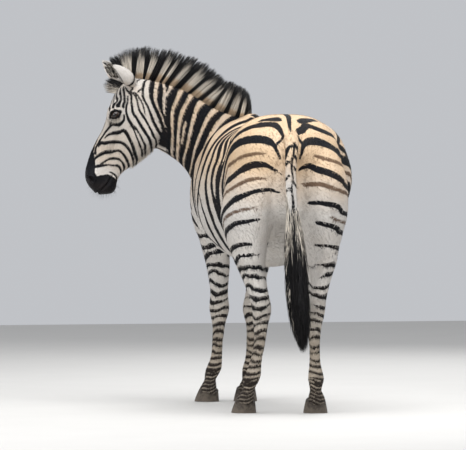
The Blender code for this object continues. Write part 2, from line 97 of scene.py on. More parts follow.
# trunk: y, left edge, right edge, top, height of the widest part, bottom, squareness above, squareness below
TRUNK = (
    (-0.175, -0.02, 0.09, 1.130, 1.02, 0.93, 2.0, 2.0),
    (-0.150, -0.09, 0.16, 1.165, 1.02, 0.86, 2.2, 2.0),
    (-0.080, -0.165, 0.235, 1.222, 1.02, 0.82, 2.4, 2.0),
    (0.000, -0.190, 0.278, 1.264, 1.01, 0.80, 2.6, 2.0),
    (0.100, -0.203, 0.300, 1.286, 1.00, 0.755, 2.8, 2.0),
    (0.200, -0.200, 0.330, 1.288, 0.99, 0.700, 2.7, 2.0),
    (0.300, -0.190, 0.398, 1.272, 1.00, 0.655, 2.6, 1.7),
    (0.400, -0.198, 0.418, 1.254, 1.00, 0.625, 2.5, 1.65),
    (0.500, -0.212, 0.404, 1.243, 0.98, 0.612, 2.4, 1.8),
    (0.600, -0.216, 0.374, 1.244, 0.96, 0.612, 2.3, 1.9),
    (0.700, -0.210, 0.345, 1.262, 0.93, 0.628, 2.1, 2.1),
    (0.800, -0.196, 0.305, 1.270, 0.94, 0.652, 2.0, 2.0),
    (0.900, -0.178, 0.255, 1.245, 0.94, 0.680, 2.0, 2.0),
    (1.000, -0.160, 0.205, 1.180, 0.94, 0.715, 2.0, 2.0),
    (1.080, -0.125, 0.155, 1.100, 0.93, 0.780, 2.0, 2.0),
    (1.130, -0.060, 0.080, 1.000, 0.92, 0.850, 2.0, 2.0),
)
# neck: crest point, throat point, half width above, half width below, in mm as all rows in thousandths are
NECK = thousandths((
    (66, 720, 1235, 30, 980, 780, 100, 200), (55, 800, 1268, 0, 1070, 830, 90, 185),
    (16, 880, 1283, -30, 1110, 885, 80, 160), (-57, 1000, 1324, -85, 1165, 985, 66, 122),
    (-140, 1080, 1386, -150, 1190, 1055, 56, 100), (-221, 1130, 1422, -200, 1210, 1090, 52, 90),
    (-290, 1160, 1440, -235, 1215, 1108, 50, 84), (-350, 1180, 1446, -262, 1218, 1122, 50, 80),
    (-395, 1195, 1430, -300, 1215, 1160, 48, 70),
))
# head: unit vectors from the poll to the nose, out of the forehead and to the animal's left
POLL = Vector((-0.3755, 1.200, 1.430))
NOSEWARD = Vector((-0.3531, 0.0881, -0.9310)).normalized()
BROW = Vector((-0.9031, 0.2253, 0.3640)).normalized()
LEFT = BROW.cross(NOSEWARD).normalized()
# head: distance from the poll, forehead side, jaw side, half width at the forehead, half width at the jaw
HEAD = thousandths((
    (-20, 0, -150, 45, 50), (10, 30, -190, 62, 66), (50, 53, -206, 78, 70), (100, 64, -212, 88, 70),
    (160, 62, -214, 92, 68), (210, 57, -208, 85, 64), (260, 56, -192, 70, 58), (310, 64, -165, 58, 50),
    (360, 68, -135, 51, 44), (400, 67, -106, 48, 41), (440, 63, -96, 50, 40), (475, 55, -104, 54, 42),
    (505, 34, -94, 52, 40), (525, 4, -66, 40, 30), (534, -20, -45, 18, 14),
))
EYE = (0.172, 0.0220, 0.0850)
EYE_RADIUS = 0.0235
# hind leg: height, forward of the hoof, half width, half depth
HIND = thousandths((
    (1150, 35, 70, 110), (1080, 30, 100, 170), (1000, 20, 113, 205), (920, 20, 115, 214), (850, 28, 112, 214),
    (780, 36, 96, 200), (710, 24, 77, 165), (650, -4, 64, 124), (590, -34, 54, 92), (540, -64, 48, 74),
    (500, -88, 44, 66), (460, -94, 46, 58), (420, -90, 42, 48), (380, -86, 34, 40), (300, -82, 27, 34),
    (220, -78, 28, 35), (175, -80, 35, 41), (145, -72, 38, 44), (115, -56, 31, 36), (85, -37, 34, 37),
    (60, -25, 41, 44), (28, -18, 38, 40),
))
# fore leg: height, forward of the hoof, half width, half depth
FORE = thousandths((
    (980, -60, 60, 130), (900, -70, 75, 135), (820, -75, 78, 125), (740, -70, 70, 105), (660, -55, 60, 82),
    (580, -44, 51, 64), (500, -36, 42, 50), (455, -30, 46, 46), (415, -26, 48, 48), (375, -34, 39, 44),
    (335, -44, 29, 37), (270, -50, 26, 34), (200, -56, 27, 34), (165, -58, 34, 39), (138, -52, 36, 41),
    (108, -40, 30, 34), (82, -30, 34, 37), (60, -22, 41, 44), (28, -18, 38, 40),
))
# each leg: hoof x, hoof y, toe turned out (degrees), and x of its middle at several heights
LEGS = {
    "hindleg_left": (HIND, -0.152, 0.037, 12.0, thousandths((
        (60, -152), (100, -146), (200, -124), (300, -102), (450, -96), (650, -127),
        (850, -127), (1000, -104), (1150, -80)))),
    "hindleg_right": (HIND, 0.147, -0.037, -14.0, thousandths((
        (60, 147), (100, 136), (200, 126), (350, 121), (470, 124), (650, 172),
        (850, 174), (1000, 172), (1150, 158)))),
    "foreleg_left": (FORE, -0.088, 0.995, 22.0, thousandths((
        (60, -88), (100, -83), (200, -58), (420, -37), (600, -48), (800, -83), (1000, -95)))),
    "foreleg_right": (FORE, 0.086, 0.990, -6.0, thousandths((
        (60, 86), (100, 88), (200, 98), (420, 113), (600, 132), (800, 152), (1000, 150)))),
}
# muscle and bone that stand out of the sections: centre, half sizes, turn about Z, tilt about X (degrees)
BODY_SWELLS = (
    ((-0.110, 0.900, 0.930), (0.075, 0.135, 0.220), 0, 12),
    ((0.160, 0.900, 0.930), (0.090, 0.135, 0.220), 0, 12),
    ((-0.035, 1.055, 0.905), (0.090, 0.095, 0.130), 0, 0),
    ((0.078, 1.040, 0.905), (0.090, 0.092, 0.130), 0, 0),
    ((0.062, 0.780, 1.200), (0.055, 0.170, 0.090), 3, 0),
    ((-0.100, 0.110, 1.130), (0.090, 0.150, 0.100), 0, -8),
    ((0.190, 0.110, 1.130), (0.090, 0.150, 0.100), 0, -8),
)
# the same on the head, for both sides: brow bone, jaw muscle, cheek ridge, nostril
HEAD_SWELLS = (
    ((0.165, 0.026, 0.073), (0.056, 0.038, 0.029)),
    ((0.190, -0.110, 0.048), (0.085, 0.085, 0.030)),
    ((0.250, -0.006, 0.060), (0.080, 0.018, 0.016)),
    ((0.462, 0.014, 0.040), (0.038, 0.036, 0.021)),
)
# the tail's own flesh: x, y, z, half width, half depth
DOCK = thousandths((
    (12, -120, 1190, 34, 32), (8, -170, 1165, 30, 27), (-4, -208, 1110, 26, 22), (-12, -232, 1030, 23, 18),
    (-11, -241, 940, 22, 16), (-6, -245, 850, 21, 15), (-3, -246, 760, 16, 12),
))


def curve(keys, count):
    """Rows on a smooth curve through the key rows."""
    keys = np.array(keys, float)
    padded = np.vstack([2 * keys[0] - keys[1], keys, 2 * keys[-1] - keys[-2]])
    rows = []
    for t in np.linspace(0, len(keys) - 1, count):
        i = min(int(t), len(keys) - 2)
        f = t - i
        a, b, c, d = padded[i : i + 4]
        square, cube = 2 * a - 5 * b + 4 * c - d, 3 * b - a - 3 * c + d
        rows.append(0.5 * (2 * b + (c - a) * f + square * f * f + cube * f**3))
    return np.array(rows)


def on_leg(x, y, hoof_x, hoof_y):
    """True on the quarter of the body that the hoof carries."""
    return (np.sign(x) == np.sign(hoof_x)) & ((y > HIND_TO_FORE) == (hoof_y > HIND_TO_FORE))


def in_head(noseward, brow, side):
    """A place given in the head's frame."""
    return POLL + NOSEWARD * noseward + BROW * brow + LEFT * side


def oval(centre, side, up, half_low, half_high, top, bottom, square_top=2.0, square_bottom=2.0, count=40):
    """One ring of a loft: half widths may differ with height, and so may squareness."""
    angle = np.linspace(0, 2 * np.pi, count, endpoint=False)
    c, s = np.cos(angle), np.sin(angle)
    square = np.where(s > 0, square_top, square_bottom)
    across = np.sign(c) * np.abs(c) ** (2 / square) * (half_low + (half_high - half_low) * (s + 1) / 2)
    rise = np.abs(s) ** (2 / square) * np.where(s > 0, top, -bottom)
    return np.array(centre) + np.outer(across, np.array(side)) + np.outer(rise, np.array(up))


def add_loft(shell, rings):
    """Adds a closed tube through the rings to the shell (points, faces)."""
    points, faces = shell
    start, n = len(points), len(rings[0])
    for ring in rings:
        points.extend(ring)
    for r in range(len(rings) - 1):
        for k in range(n):
            a, b = start + r * n + k, start + r * n + (k + 1) % n
            faces.append((a, b, b + n, a + n))
    for at in (0, len(rings) - 1):
        hub = len(points)
        points.append(np.mean(rings[at], axis=0))
        for k in range(n):
            a, b = start + at * n + k, start + at * n + (k + 1) % n
            faces.append((b, a, hub) if at == 0 else (a, b, hub))


def add_ball(shell, centre, halves, axes, count=28):
    """Adds an ellipsoid whose half sizes lie along the axes."""
    rings = []
    for polar in np.linspace(0, np.pi, count // 2 + 1)[1:-1]:
        ring = []
        for turn in np.linspace(0, 2 * np.pi, count, endpoint=False):
            wide, high = math.sin(polar), math.cos(polar)
            local = np.array((wide * math.cos(turn), wide * math.sin(turn), high)) * halves
            ring.append(np.array(centre) + sum(np.array(axis) * reach for axis, reach in zip(axes, local)))
        rings.append(ring)
    add_loft(shell, rings)


def closed_mesh(name, shell):
    """An object from points and faces, its doubles merged and its faces turned outwards."""
    mesh = bpy.data.meshes.new(name)
    mesh.from_pydata([tuple(map(float, p)) for p in shell[0]], [], shell[1])
    work = bmesh.new()
    work.from_mesh(mesh)
    bmesh.ops.remove_doubles(work, verts=work.verts, dist=1e-5)
    bmesh.ops.recalc_face_normals(work, faces=work.faces)
    if work.calc_volume(signed=True) < 0:
        bmesh.ops.reverse_faces(work, faces=work.faces)
    work.to_mesh(mesh)
    work.free()
    return add_object(name, mesh)


def worked(obj, kind, **settings):
    """Puts one modifier on the object's mesh for good."""
    modifier = obj.modifiers.new(kind.lower(), kind)
    for key, value in settings.items():
        setattr(modifier, key, value)
    obj.data = bpy.data.meshes.new_from_object(obj.evaluated_get(bpy.context.evaluated_depsgraph_get()))
    obj.modifiers.clear()
    return obj


def positions(mesh):
    """Places of the mesh's vertices."""
    flat = np.empty(len(mesh.vertices) * 3)
    mesh.vertices.foreach_get("co", flat)
    return flat.reshape(-1, 3)


def merged(obj, other):
    """Joins the other closed body into the object and clears it away."""
    worked(obj, "BOOLEAN", operation="UNION", solver="EXACT", object=other)
    bpy.data.objects.remove(other, do_unlink=True)


def head_places(points):
    """Distance along the head from the poll, out of the forehead axis, and to the left."""
    away = points - np.array(POLL)
    return away @ np.array(NOSEWARD), away @ np.array(BROW), away @ np.array(LEFT)


flesh = ([], [])
rings = []
for y, left, right, top, wide, bottom, square_top, square_bottom in curve(TRUNK, 60):
    half, up, down = (right - left) / 2, top - wide, wide - bottom
    middle = ((left + right) / 2, y, wide)
    rings.append(oval(middle, (1, 0, 0), (0, 0, 1), half, half, up, down, square_top, square_bottom, 56))
add_loft(flesh, rings)
neck_rows = curve(NECK, 48)
neck_middles = (neck_rows[:, 0:3] + neck_rows[:, 3:6]) / 2
neck_ways = np.gradient(neck_middles, axis=0)
neck_ups = neck_rows[:, 0:3] - neck_rows[:, 3:6]
neck_sides = unit(np.cross(neck_ways, neck_ups))
rings = []
for row, middle, up, side in zip(neck_rows, neck_middles, neck_ups, neck_sides):
    half = np.linalg.norm(up) / 2
    rings.append(oval(middle, side, up / (2 * half), row[7], row[6], half, half, 2.0, 2.3, 48))
add_loft(flesh, rings)
rings = []
for along, brow, jaw, high, low in curve(HEAD, 60):
    half = (brow - jaw) / 2
    rings.append(oval(in_head(along, (brow + jaw) / 2, 0), LEFT, BROW, low, high, half, half, 2.5, 2.4, 48))
add_loft(flesh, rings)
for centre, halves in HEAD_SWELLS:
    for side in (1, -1):
        add_ball(flesh, in_head(centre[0], centre[1], centre[2] * side), halves, (NOSEWARD, BROW, LEFT))
for centre, halves, turn, tilt in BODY_SWELLS:
    spin = Matrix.Rotation(math.radians(turn), 3, "Z") @ Matrix.Rotation(math.radians(tilt), 3, "X")
    add_ball(flesh, centre, halves, [spin.col[i] for i in range(3)])
for profile, hoof_x, hoof_y, toe_out, sway in LEGS.values():
    rings = []
    for z, forward, half, deep in curve(profile, 70):
        x = read_off(z, sway)
        turn = max(0.0, min(1.0, (0.55 - z) / 0.4)) * math.radians(toe_out)
        side, front = (math.cos(turn), math.sin(turn), 0), (-math.sin(turn), math.cos(turn), 0)
        rings.append(oval((x, hoof_y + forward, z), side, front, half, half, deep, deep, 2.2, 2.0, 32))
    add_loft(flesh, rings[::-1])
skin = closed_mesh("skin", flesh)
worked(skin, "REMESH", mode="VOXEL", voxel_size=GRAIN)
worked(skin, "SMOOTH", factor=0.6, iterations=5)
worked(skin, "DISPLACE", strength=-COAT_DEPTH, mid_level=0.0)


def finer(obj, chosen):
    """Halves the faces at the chosen vertices and lets the new ones settle."""
    work = bmesh.new()
    work.from_mesh(obj.data)
    work.verts.ensure_lookup_table()
    edges = {e for f in work.faces if any(chosen[v.index] for v in f.verts) for e in f.edges}
    made = bmesh.ops.subdivide_edges(work, edges=sorted(edges, key=lambda e: e.index), cuts=1, use_grid_fill=True)
    inner = {v for e in made["geom"] if isinstance(e, bmesh.types.BMFace) for v in e.verts}
    inner = sorted((v for v in inner if v.is_valid), key=lambda v: v.index)
    for _ in range(2):
        bmesh.ops.smooth_vert(work, verts=inner, factor=0.5, use_axis_x=True, use_axis_y=True, use_axis_z=True)
    bmesh.ops.triangulate(work, faces=[f for f in work.faces if len(f.verts) > 4])
    work.to_mesh(obj.data)
    work.free()


points = positions(skin.data)
along, brow, side = head_places(points)
on_head = (along > -0.04) & (points[:, 0] < -0.27) & (points[:, 1] > 1.0) & (points[:, 2] > 0.88)
fine = on_head | (points[:, 2] < 0.62) | ((points[:, 1] > 0.86) & (points[:, 2] > 0.98))
finer(skin, fine)
points = positions(skin.data)
along, brow, side = head_places(points)
near_eye = (np.abs(along - EYE[0]) < 0.055) & (np.abs(brow - EYE[1]) < 0.050) & (np.abs(side) > 0.05)
near_nose = (along > 0.405) & (brow > -0.115)
off_body = (points[:, 0] < -0.27) & (points[:, 1] > 1.0)
finer(skin, (near_eye | near_nose) & off_body)


def bell(distance, width):
    """One at the distance zero, falling away over the width."""
    return np.exp(-((distance / width) ** 2))


def eased(value, low, high):
    """Zero below low, one above high, smooth between."""
    f = np.clip((value - low) / (high - low), 0, 1)
    return f * f * (3 - 2 * f)


def line_distance(u, v, path):
    """Distance to an open line of points on a flat chart."""
    best = np.full(len(u), 1.0)
    for (u0, v0), (u1, v1) in zip(path[:-1], path[1:]):
        du, dv = u1 - u0, v1 - v0
        f = np.clip(((u - u0) * du + (v - v0) * dv) / (du * du + dv * dv), 0, 1)
        best = np.minimum(best, np.hypot(u - u0 - f * du, v - v0 - f * dv))
    return best


EYE_TILT = math.radians(39.0)      # the slit rises from its nose corner towards the ear
SLIT = (0.0245, 0.0150)            # half length and half height between the lids
LID = 0.0022
EYE_REACH = 0.045                  # lids and socket lie within it
BESIDE_NOSE = 0.05                 # the eyes lie farther than this from the head's middle
MOUTH = ((0.532, -0.028), (0.505, -0.046), (0.470, -0.060), (0.430, -0.064))
NOSTRIL = (0.476, 0.016, 0.052)
# ridges and hollows of the face: height, width, least distance from the middle, and path (along the head, out of it)
FACE_FOLDS = (
    (0.004, 0.010, 0.05, ((0.130, 0.052), (0.168, 0.066), (0.200, 0.050))),
    (-0.003, 0.014, -1.0, ((0.215, -0.020), (0.300, -0.030), (0.380, -0.036))),
    (-0.0035, 0.012, 0.02, ((0.280, 0.045), (0.350, 0.052), (0.420, 0.040))),
    (-0.003, 0.013, -1.0, ((0.020, -0.110), (0.075, -0.140), (0.110, -0.190))),
)


def slit_places(points):
    """Along and across the slit of the nearer eye, out from its centre, and signed distance outside the lids' rim."""
    along, brow, side = head_places(points)
    da, db = along - EYE[0], brow - EYE[1]
    u = da * math.cos(EYE_TILT) + db * math.sin(EYE_TILT)
    v = -da * math.sin(EYE_TILT) + db * math.cos(EYE_TILT)
    rim = np.abs(v) - SLIT[1] * np.clip(1 - (u / SLIT[0]) ** 2, 0, 1) * np.where(v > 0, 1.12, 0.88)
    return u, v, np.abs(side) - EYE[2], np.where(np.abs(u) < SLIT[0], rim, np.hypot(np.abs(u) - SLIT[0], v))


def face_worked(points, normals):
    """The face folded: lids round each eye, nostrils, lips, hollows and the skin's folds at the throat."""
    points = points.copy()
    along, brow, side = head_places(points)
    near = (points[:, 0] < -0.25) & (points[:, 1] > 1.0) & (along > -0.05)
    # hollows and ridges
    push = -0.006 * bell(np.hypot(along - 0.098, brow - 0.030), 0.026) * (np.abs(side) > 0.05)
    for depth, width, aside, path in FACE_FOLDS:
        push += depth * bell(line_distance(along, brow, path), width) * (np.abs(side) > aside)
    # lips
    lips = line_distance(along, brow, MOUTH)
    push += -0.0050 * bell(lips, 0.0036) + 0.0022 * bell(lips - 0.010, 0.006) * (along > 0.43)
    push += 0.0030 * bell(np.hypot(along - 0.497, brow + 0.088), 0.022)
    # nostrils
    da, db = along - NOSTRIL[0], brow - NOSTRIL[1]
    u, v = da * 0.50 - db * 0.87, da * 0.87 + db * 0.50
    well = np.hypot(u / 0.017, (v - 0.25 * np.abs(u)) / 0.0095)
    open_side = np.abs(side) > 0.022
    push += open_side * (-0.013 * (1 - eased(well, 0.35, 1.05)) + 0.0030 * bell(well - 1.25, 0.28))
    points[near] += normals[near] * push[near, None]
    # lids and the socket behind them
    along, brow, side = head_places(points)
    u, v, out, rim = slit_places(points)
    close = near & (np.hypot(u, v) < EYE_REACH) & (np.abs(side) > BESIDE_NOSE)
    # a vertex beside the rim slides onto it, so the slit has a clean edge
    reach = 0.0021
    beside = close & (np.abs(rim) < reach) & (np.abs(u) < SLIT[0])
    slide = np.where(v > 0, -rim, rim)[beside]
    points[beside] += np.outer(slide, np.array(BROW) * math.cos(EYE_TILT) - np.array(NOSEWARD) * math.sin(EYE_TILT))
    u, v, out, rim = slit_places(points)
    span2 = u * u + v * v
    ball = np.sqrt(np.clip(EYE_RADIUS**2 - span2, 0, None))
    shell = np.sqrt(np.clip((EYE_RADIUS + LID + 0.0012 * (v > 0)) ** 2 - span2, 0, None))
    fold = 0.0016 * bell(rim - 0.0075, 0.0022) * (v > 0) + 0.0012 * bell(rim - 0.0095, 0.0026) * (v < 0)
    away = eased(rim, 0.006, 0.016)
    lid = np.maximum(shell, out * eased(rim, 0.002, 0.012)) * (1 - away) + out * away - fold
    inside = np.minimum(ball - 0.0035, out - 0.003)
    target = np.where(rim < -0.0006, np.maximum(inside, 0.004), lid)
    target = np.where(span2 < EYE_REACH**2, target, out)
    moved = (target - out) * np.sign(side)
    points[close] += np.outer(moved[close], np.array(LEFT))
    return points


def normals_of(mesh):
    """Normals of the mesh's vertices."""
    flat = np.empty(len(mesh.vertices) * 3)
    mesh.vertex_normals.foreach_get("vector", flat)
    return flat.reshape(-1, 3)


RIB_SPACING = 0.052


def body_worked(points, normals):
    """Muscle lines, hollow flank, hip point, ribs and the cords above hock and knee."""
    x, y, z = points.T
    out = np.abs(x - read_off(y, MIDLINE))
    behind_thigh = line_distance(out, z, ((0.085, 1.07), (0.110, 0.95), (0.112, 0.82), (0.100, 0.70)))
    push = -0.0045 * bell(behind_thigh, 0.014) * (y < 0.0) * eased(z, 0.55, 0.70)
    push += -0.012 * bell(np.hypot(y - 0.345, z - 1.130), 0.070) * (out > 0.10)
    push += 0.0020 * bell(np.hypot(y - 0.235, z - 1.170), 0.040) * (out > 0.10)
    chest = eased(y, 0.42, 0.50) * (1 - eased(y, 0.74, 0.82)) * eased(z, 0.70, 0.80) * (1 - eased(z, 1.06, 1.14))
    push += -0.0012 * (0.5 + 0.5 * np.cos((y - 0.10 * z) * 2 * np.pi / RIB_SPACING)) * chest
    push += -0.016 * bell(out, 0.020) * (y < -0.10) * eased(z, 0.72, 0.82) * (1 - eased(z, 1.06, 1.12))
    for profile, hoof_x, hoof_y, _, _ in LEGS.values():
        mine = on_leg(x, y, hoof_x, hoof_y) & (z < LOWER_LEG)
        ahead = y - hoof_y - read_off(z, profile)
        if hoof_y < HIND_TO_FORE:
            push += mine * (-0.0065 * bell(ahead + 0.022, 0.011) * bell(z - 0.555, 0.065))
            push += mine * (-0.0022 * bell(ahead + 0.006, 0.008) * bell(z - 0.27, 0.085))
            push += mine * (-0.0025 * bell(np.hypot(ahead - 0.012, z - 0.455), 0.022))
        else:
            push += mine * (-0.0025 * bell(ahead + 0.008, 0.008) * bell(z - 0.27, 0.075))
            push += mine * (-0.0025 * bell(np.hypot(ahead + 0.012, z - 0.455), 0.020))
        push += mine * (-0.0025 * bell(z - 0.098, 0.012))
    return points + normals * push[:, None]


points, normals = positions(skin.data), normals_of(skin.data)
points = face_worked(body_worked(points, normals), normals)
skin.data.vertices.foreach_set("co", points.ravel())

# ears: thin cups of gristle under the hide, rooted in the head
# root, tip and the way the cup opens, in the head's frame
EARS = {
    "left": ((0.008, 0.006, 0.058), (-0.030, 0.108, 0.150), (0.45, 0.60, -0.35)),
    "right": ((0.028, 0.036, -0.050), (-0.030, 0.168, -0.125), (0.20, 0.25, 0.90)),
}
EAR_WALL = 0.0040
EAR_FORM = (  # share along the ear, radius of the cup, degrees that it wraps to each side
    (0.0, 0.022, 150), (0.15, 0.030, 140), (0.35, 0.036, 118), (0.6, 0.0315, 98),
    (0.82, 0.0205, 88), (0.94, 0.0105, 84), (1.0, 0.0035, 80),
)
EAR_SUNK = 0.012
EAR_CLEAR = 0.0022          # farther than this from the head without its ears, the hide belongs to an ear
EAR_ROWS, EAR_COLUMNS = 26, 23


def ear_frame(name):
    """Root, way, length, and the ways that the cup faces and spreads."""
    root, tip, opening = EARS[name]
    root, tip = in_head(*root), in_head(*tip)
    length = (tip - root).length + EAR_SUNK
    way = (tip - root).normalized()
    root = root - way * EAR_SUNK
    facing = NOSEWARD * opening[0] + BROW * opening[1] + LEFT * opening[2]
    facing = (facing - way * facing.dot(way)).normalized()
    return root, way, length, facing, way.cross(facing)


def ear_places(points, name):
    """Share along the ear, angle round it from the back, and distance from its axis over the cup's own radius."""
    root, way, length, facing, across = ear_frame(name)
    away = points - np.array(root)
    share = away @ np.array(way) / length
    over, front = away @ np.array(across), -(away @ np.array(facing)) / 0.8
    form = curve(EAR_FORM, 30)
    turn, reach = np.degrees(np.arctan2(over, front)), np.hypot(over, front) / read_off(share, form)
    return share, turn, reach, read_off(share, form, 2)


earless = BVHTree.FromPolygons([v.co for v in skin.data.vertices], [p.vertices for p in skin.data.polygons])
for name in EARS:
    root, way, length, facing, across = ear_frame(name)
    form = curve(EAR_FORM, EAR_ROWS)
    shell = ([], [])
    for inner in (False, True):
        for share, radius, wrap in form:
            for k in range(EAR_COLUMNS):
                turn = 2 * k / (EAR_COLUMNS - 1) - 1
                a = math.radians(wrap) * turn
                thin = EAR_WALL * (1 - 0.55 * abs(turn) ** 4) if inner else 0.0008
                reach = max(radius - thin, 0.0008)
                ripple = 0.0007 * math.sin(9 * share + 3 * a) if inner else 0.0
                out = (across * math.sin(a) - facing * math.cos(a) * 0.8) * (reach + ripple)
                shell[0].append(root + way * (share * length - (thin if inner else 0.0) * share) + out)

    def at(layer, row, column):
        return (layer * EAR_ROWS + row) * EAR_COLUMNS + column

    for r in range(EAR_ROWS - 1):
        for c in range(EAR_COLUMNS - 1):
            shell[1].append((at(0, r, c), at(0, r, c + 1), at(0, r + 1, c + 1), at(0, r + 1, c)))
            shell[1].append((at(1, r, c), at(1, r + 1, c), at(1, r + 1, c + 1), at(1, r, c + 1)))
        for c in (0, EAR_COLUMNS - 1):
            shell[1].append((at(0, r, c), at(0, r + 1, c), at(1, r + 1, c), at(1, r, c)))
    for c in range(EAR_COLUMNS - 1):
        for r in (0, EAR_ROWS - 1):
            shell[1].append((at(0, r, c), at(1, r, c), at(1, r, c + 1), at(0, r, c + 1)))
    ear = closed_mesh("ear", shell)
    merged(skin, ear)

dock_rows = curve(DOCK, 44)
dock_ways = np.gradient(dock_rows[:, :3], axis=0)
shell = ([], [])
rings = []
for row, way in zip(dock_rows, dock_ways):
    back = np.cross((1, 0, 0), way / np.linalg.norm(way))
    rings.append(oval(row[:3], (1, 0, 0), back, row[3], row[3], row[4], row[4], 2, 2, 24))
add_loft(shell, rings)
merged(skin, closed_mesh("dock", shell))


# --- stripes --------------------------------------------------------------------------------------------------------
# The hide is black on a cream to white ground, with brown shadow stripes between the broad ones of the haunch.
# Every stripe is laid out on a flat chart of its own region, the way a hide is drawn before it is painted.
RUMP_TURN = 0.10            # y where the flank turns into the rump
RUMP_RADIUS = 0.27
CLEAR = -0.05               # signed distance of a place that no stroke comes near
PALE, DARK = -0.02, 0.02    # signed distances at which a mark is certainly outside or inside
NECK_LENGTH = 0.56          # turns a share of the neck's chart into metres


def neck_places(points):
    """Share of the way from withers to poll, and from crest to throat."""
    normals = unit(np.cross(neck_sides, neck_ups))
    normals *= np.sign(np.sum(normals * neck_ways, axis=1))[:, None]
    ahead = points @ normals.T - np.sum(neck_middles * normals, axis=1)
    passed = np.clip(np.sum(ahead > 0, axis=1) - 1, 0, len(neck_rows) - 2)
    rows = np.arange(len(points))
    behind, before = ahead[rows, passed], ahead[rows, passed + 1]
    share = passed + np.clip(behind / np.maximum(behind - before, 1e-6), 0, 1)
    low = np.floor(share).astype(int).clip(0, len(neck_rows) - 2)
    f = (share - low)[:, None]
    crest = neck_rows[low, 0:3] * (1 - f) + neck_rows[low + 1, 0:3] * f
    throat = neck_rows[low, 3:6] * (1 - f) + neck_rows[low + 1, 3:6] * f
    down = throat - crest
    return share / (len(neck_rows) - 1), np.sum((points - crest) * down, axis=1) / np.sum(down * down, axis=1)


def flank_places(points):
    """Distance forward from the turn of the rump (negative round the rump), height, and distance from the middle."""
    out = points[:, 0] - read_off(points[:, 1], MIDLINE)
    turned = np.arctan2(RUMP_TURN - points[:, 1], np.maximum(np.abs(out), 1e-6))
    return np.where(points[:, 1] > RUMP_TURN, points[:, 1] - RUMP_TURN, -turned * RUMP_RADIUS), points[:, 2], out


def face_places(points):
    """Distance along the head from the poll, and round it from the middle of the brow to the jaw."""
    along, brow, side = head_places(points)
    axis = np.interp(along, [0.0, 0.16, 0.30, 0.50], [-0.075, -0.070, -0.045, -0.030])
    radius = np.interp(along, [0.0, 0.20, 0.36, 0.50], [0.105, 0.105, 0.080, 0.062])
    return along, np.arctan2(np.abs(side), brow - axis) * radius, side


def stroke_field(u, v, strokes):
    """Signed distance inside a chart's nearest stroke. Strokes are keyed by (u, v, half width) in thousandths."""
    best = np.full(len(u), CLEAR)
    for keys in strokes:
        rows = curve(thousandths(keys), 5 * len(keys) - 4)
        for (u0, v0, w0), (u1, v1, w1) in zip(rows[:-1], rows[1:]):
            reach = 0.03 + max(w0, w1)
            within = (u > min(u0, u1) - reach) & (u < max(u0, u1) + reach)
            near = np.nonzero(within & (v > min(v0, v1) - reach) & (v < max(v0, v1) + reach))[0]
            if not len(near):
                continue
            du, dv = u1 - u0, v1 - v0
            f = np.clip(((u[near] - u0) * du + (v[near] - v0) * dv) / (du * du + dv * dv + 1e-12), 0, 1)
            away = np.hypot(u[near] - u0 - f * du, v[near] - v0 - f * dv)
            best[near] = np.maximum(best[near], w0 + (w1 - w0) * f - away)
    return best


def waver(points, size, seed):
    """A smooth wandering between -1 and 1 over space, the same on each run."""
    rng = np.random.default_rng(seed)
    total = np.zeros(len(points))
    for octave in range(4):
        way = rng.normal(size=3)
        way /= np.linalg.norm(way)
        total += np.sin(points @ way * (2 * np.pi / size) * (1 + 0.45 * octave) + rng.uniform(0, 6.3)) / 4
    return total


# Every table of strokes below is in thousandths.
# pale gaps of the neck: (share from crest to throat, share from withers to poll, half width)
NECK_GAPS = (
    ((-100, 815, 22), (100, 835, 20), (250, 847, 19), (400, 832, 22), (520, 790, 21), (620, 738, 19),
     (720, 704, 10), (850, 700, 8), (1000, 702, 14)),
    ((-100, 722, 20), (60, 733, 16), (120, 742, 15), (190, 750, 15), (260, 750, 13), (320, 740, 11),
     (370, 728, 9), (450, 702, 9), (520, 682, 9), (580, 660, 7), (620, 645, 2)),
    ((-100, 675, 13), (0, 680, 11), (120, 667, 11), (250, 670, 14), (380, 668, 11), (480, 652, 2)),
    ((-100, 610, 22), (20, 620, 12), (100, 632, 10), (170, 655, 8)),
    ((-100, 520, 28), (0, 548, 18), (120, 561, 12), (300, 585, 12), (450, 583, 13), (620, 569, 12),
     (780, 573, 14), (1000, 590, 12)),
    ((-100, 455, 26), (0, 485, 16), (120, 498, 10), (300, 517, 13), (500, 517, 11), (700, 508, 14),
     (850, 514, 13), (1000, 530, 12)),
    ((340, 474, 4), (420, 480, 8), (520, 477, 6), (600, 480, 7), (640, 481, 2)),
    ((-100, 395, 28), (0, 420, 18), (100, 437, 12), (250, 435, 11), (450, 431, 11), (620, 432, 9),
     (800, 447, 8), (1000, 460, 12)),
    ((-100, 325, 26), (0, 345, 18), (120, 357, 12), (350, 357, 10), (550, 358, 9), (700, 354, 7), (850, 372, 6),
     (1000, 395, 10)),
    ((-100, 255, 28), (0, 275, 20), (150, 293, 14), (400, 290, 12), (600, 280, 10), (850, 300, 10),
     (1000, 320, 10)),
    ((-100, 175, 28), (0, 195, 20), (150, 210, 14)),
    ((-100, 100, 22), (0, 115, 16), (150, 130, 10)),
)
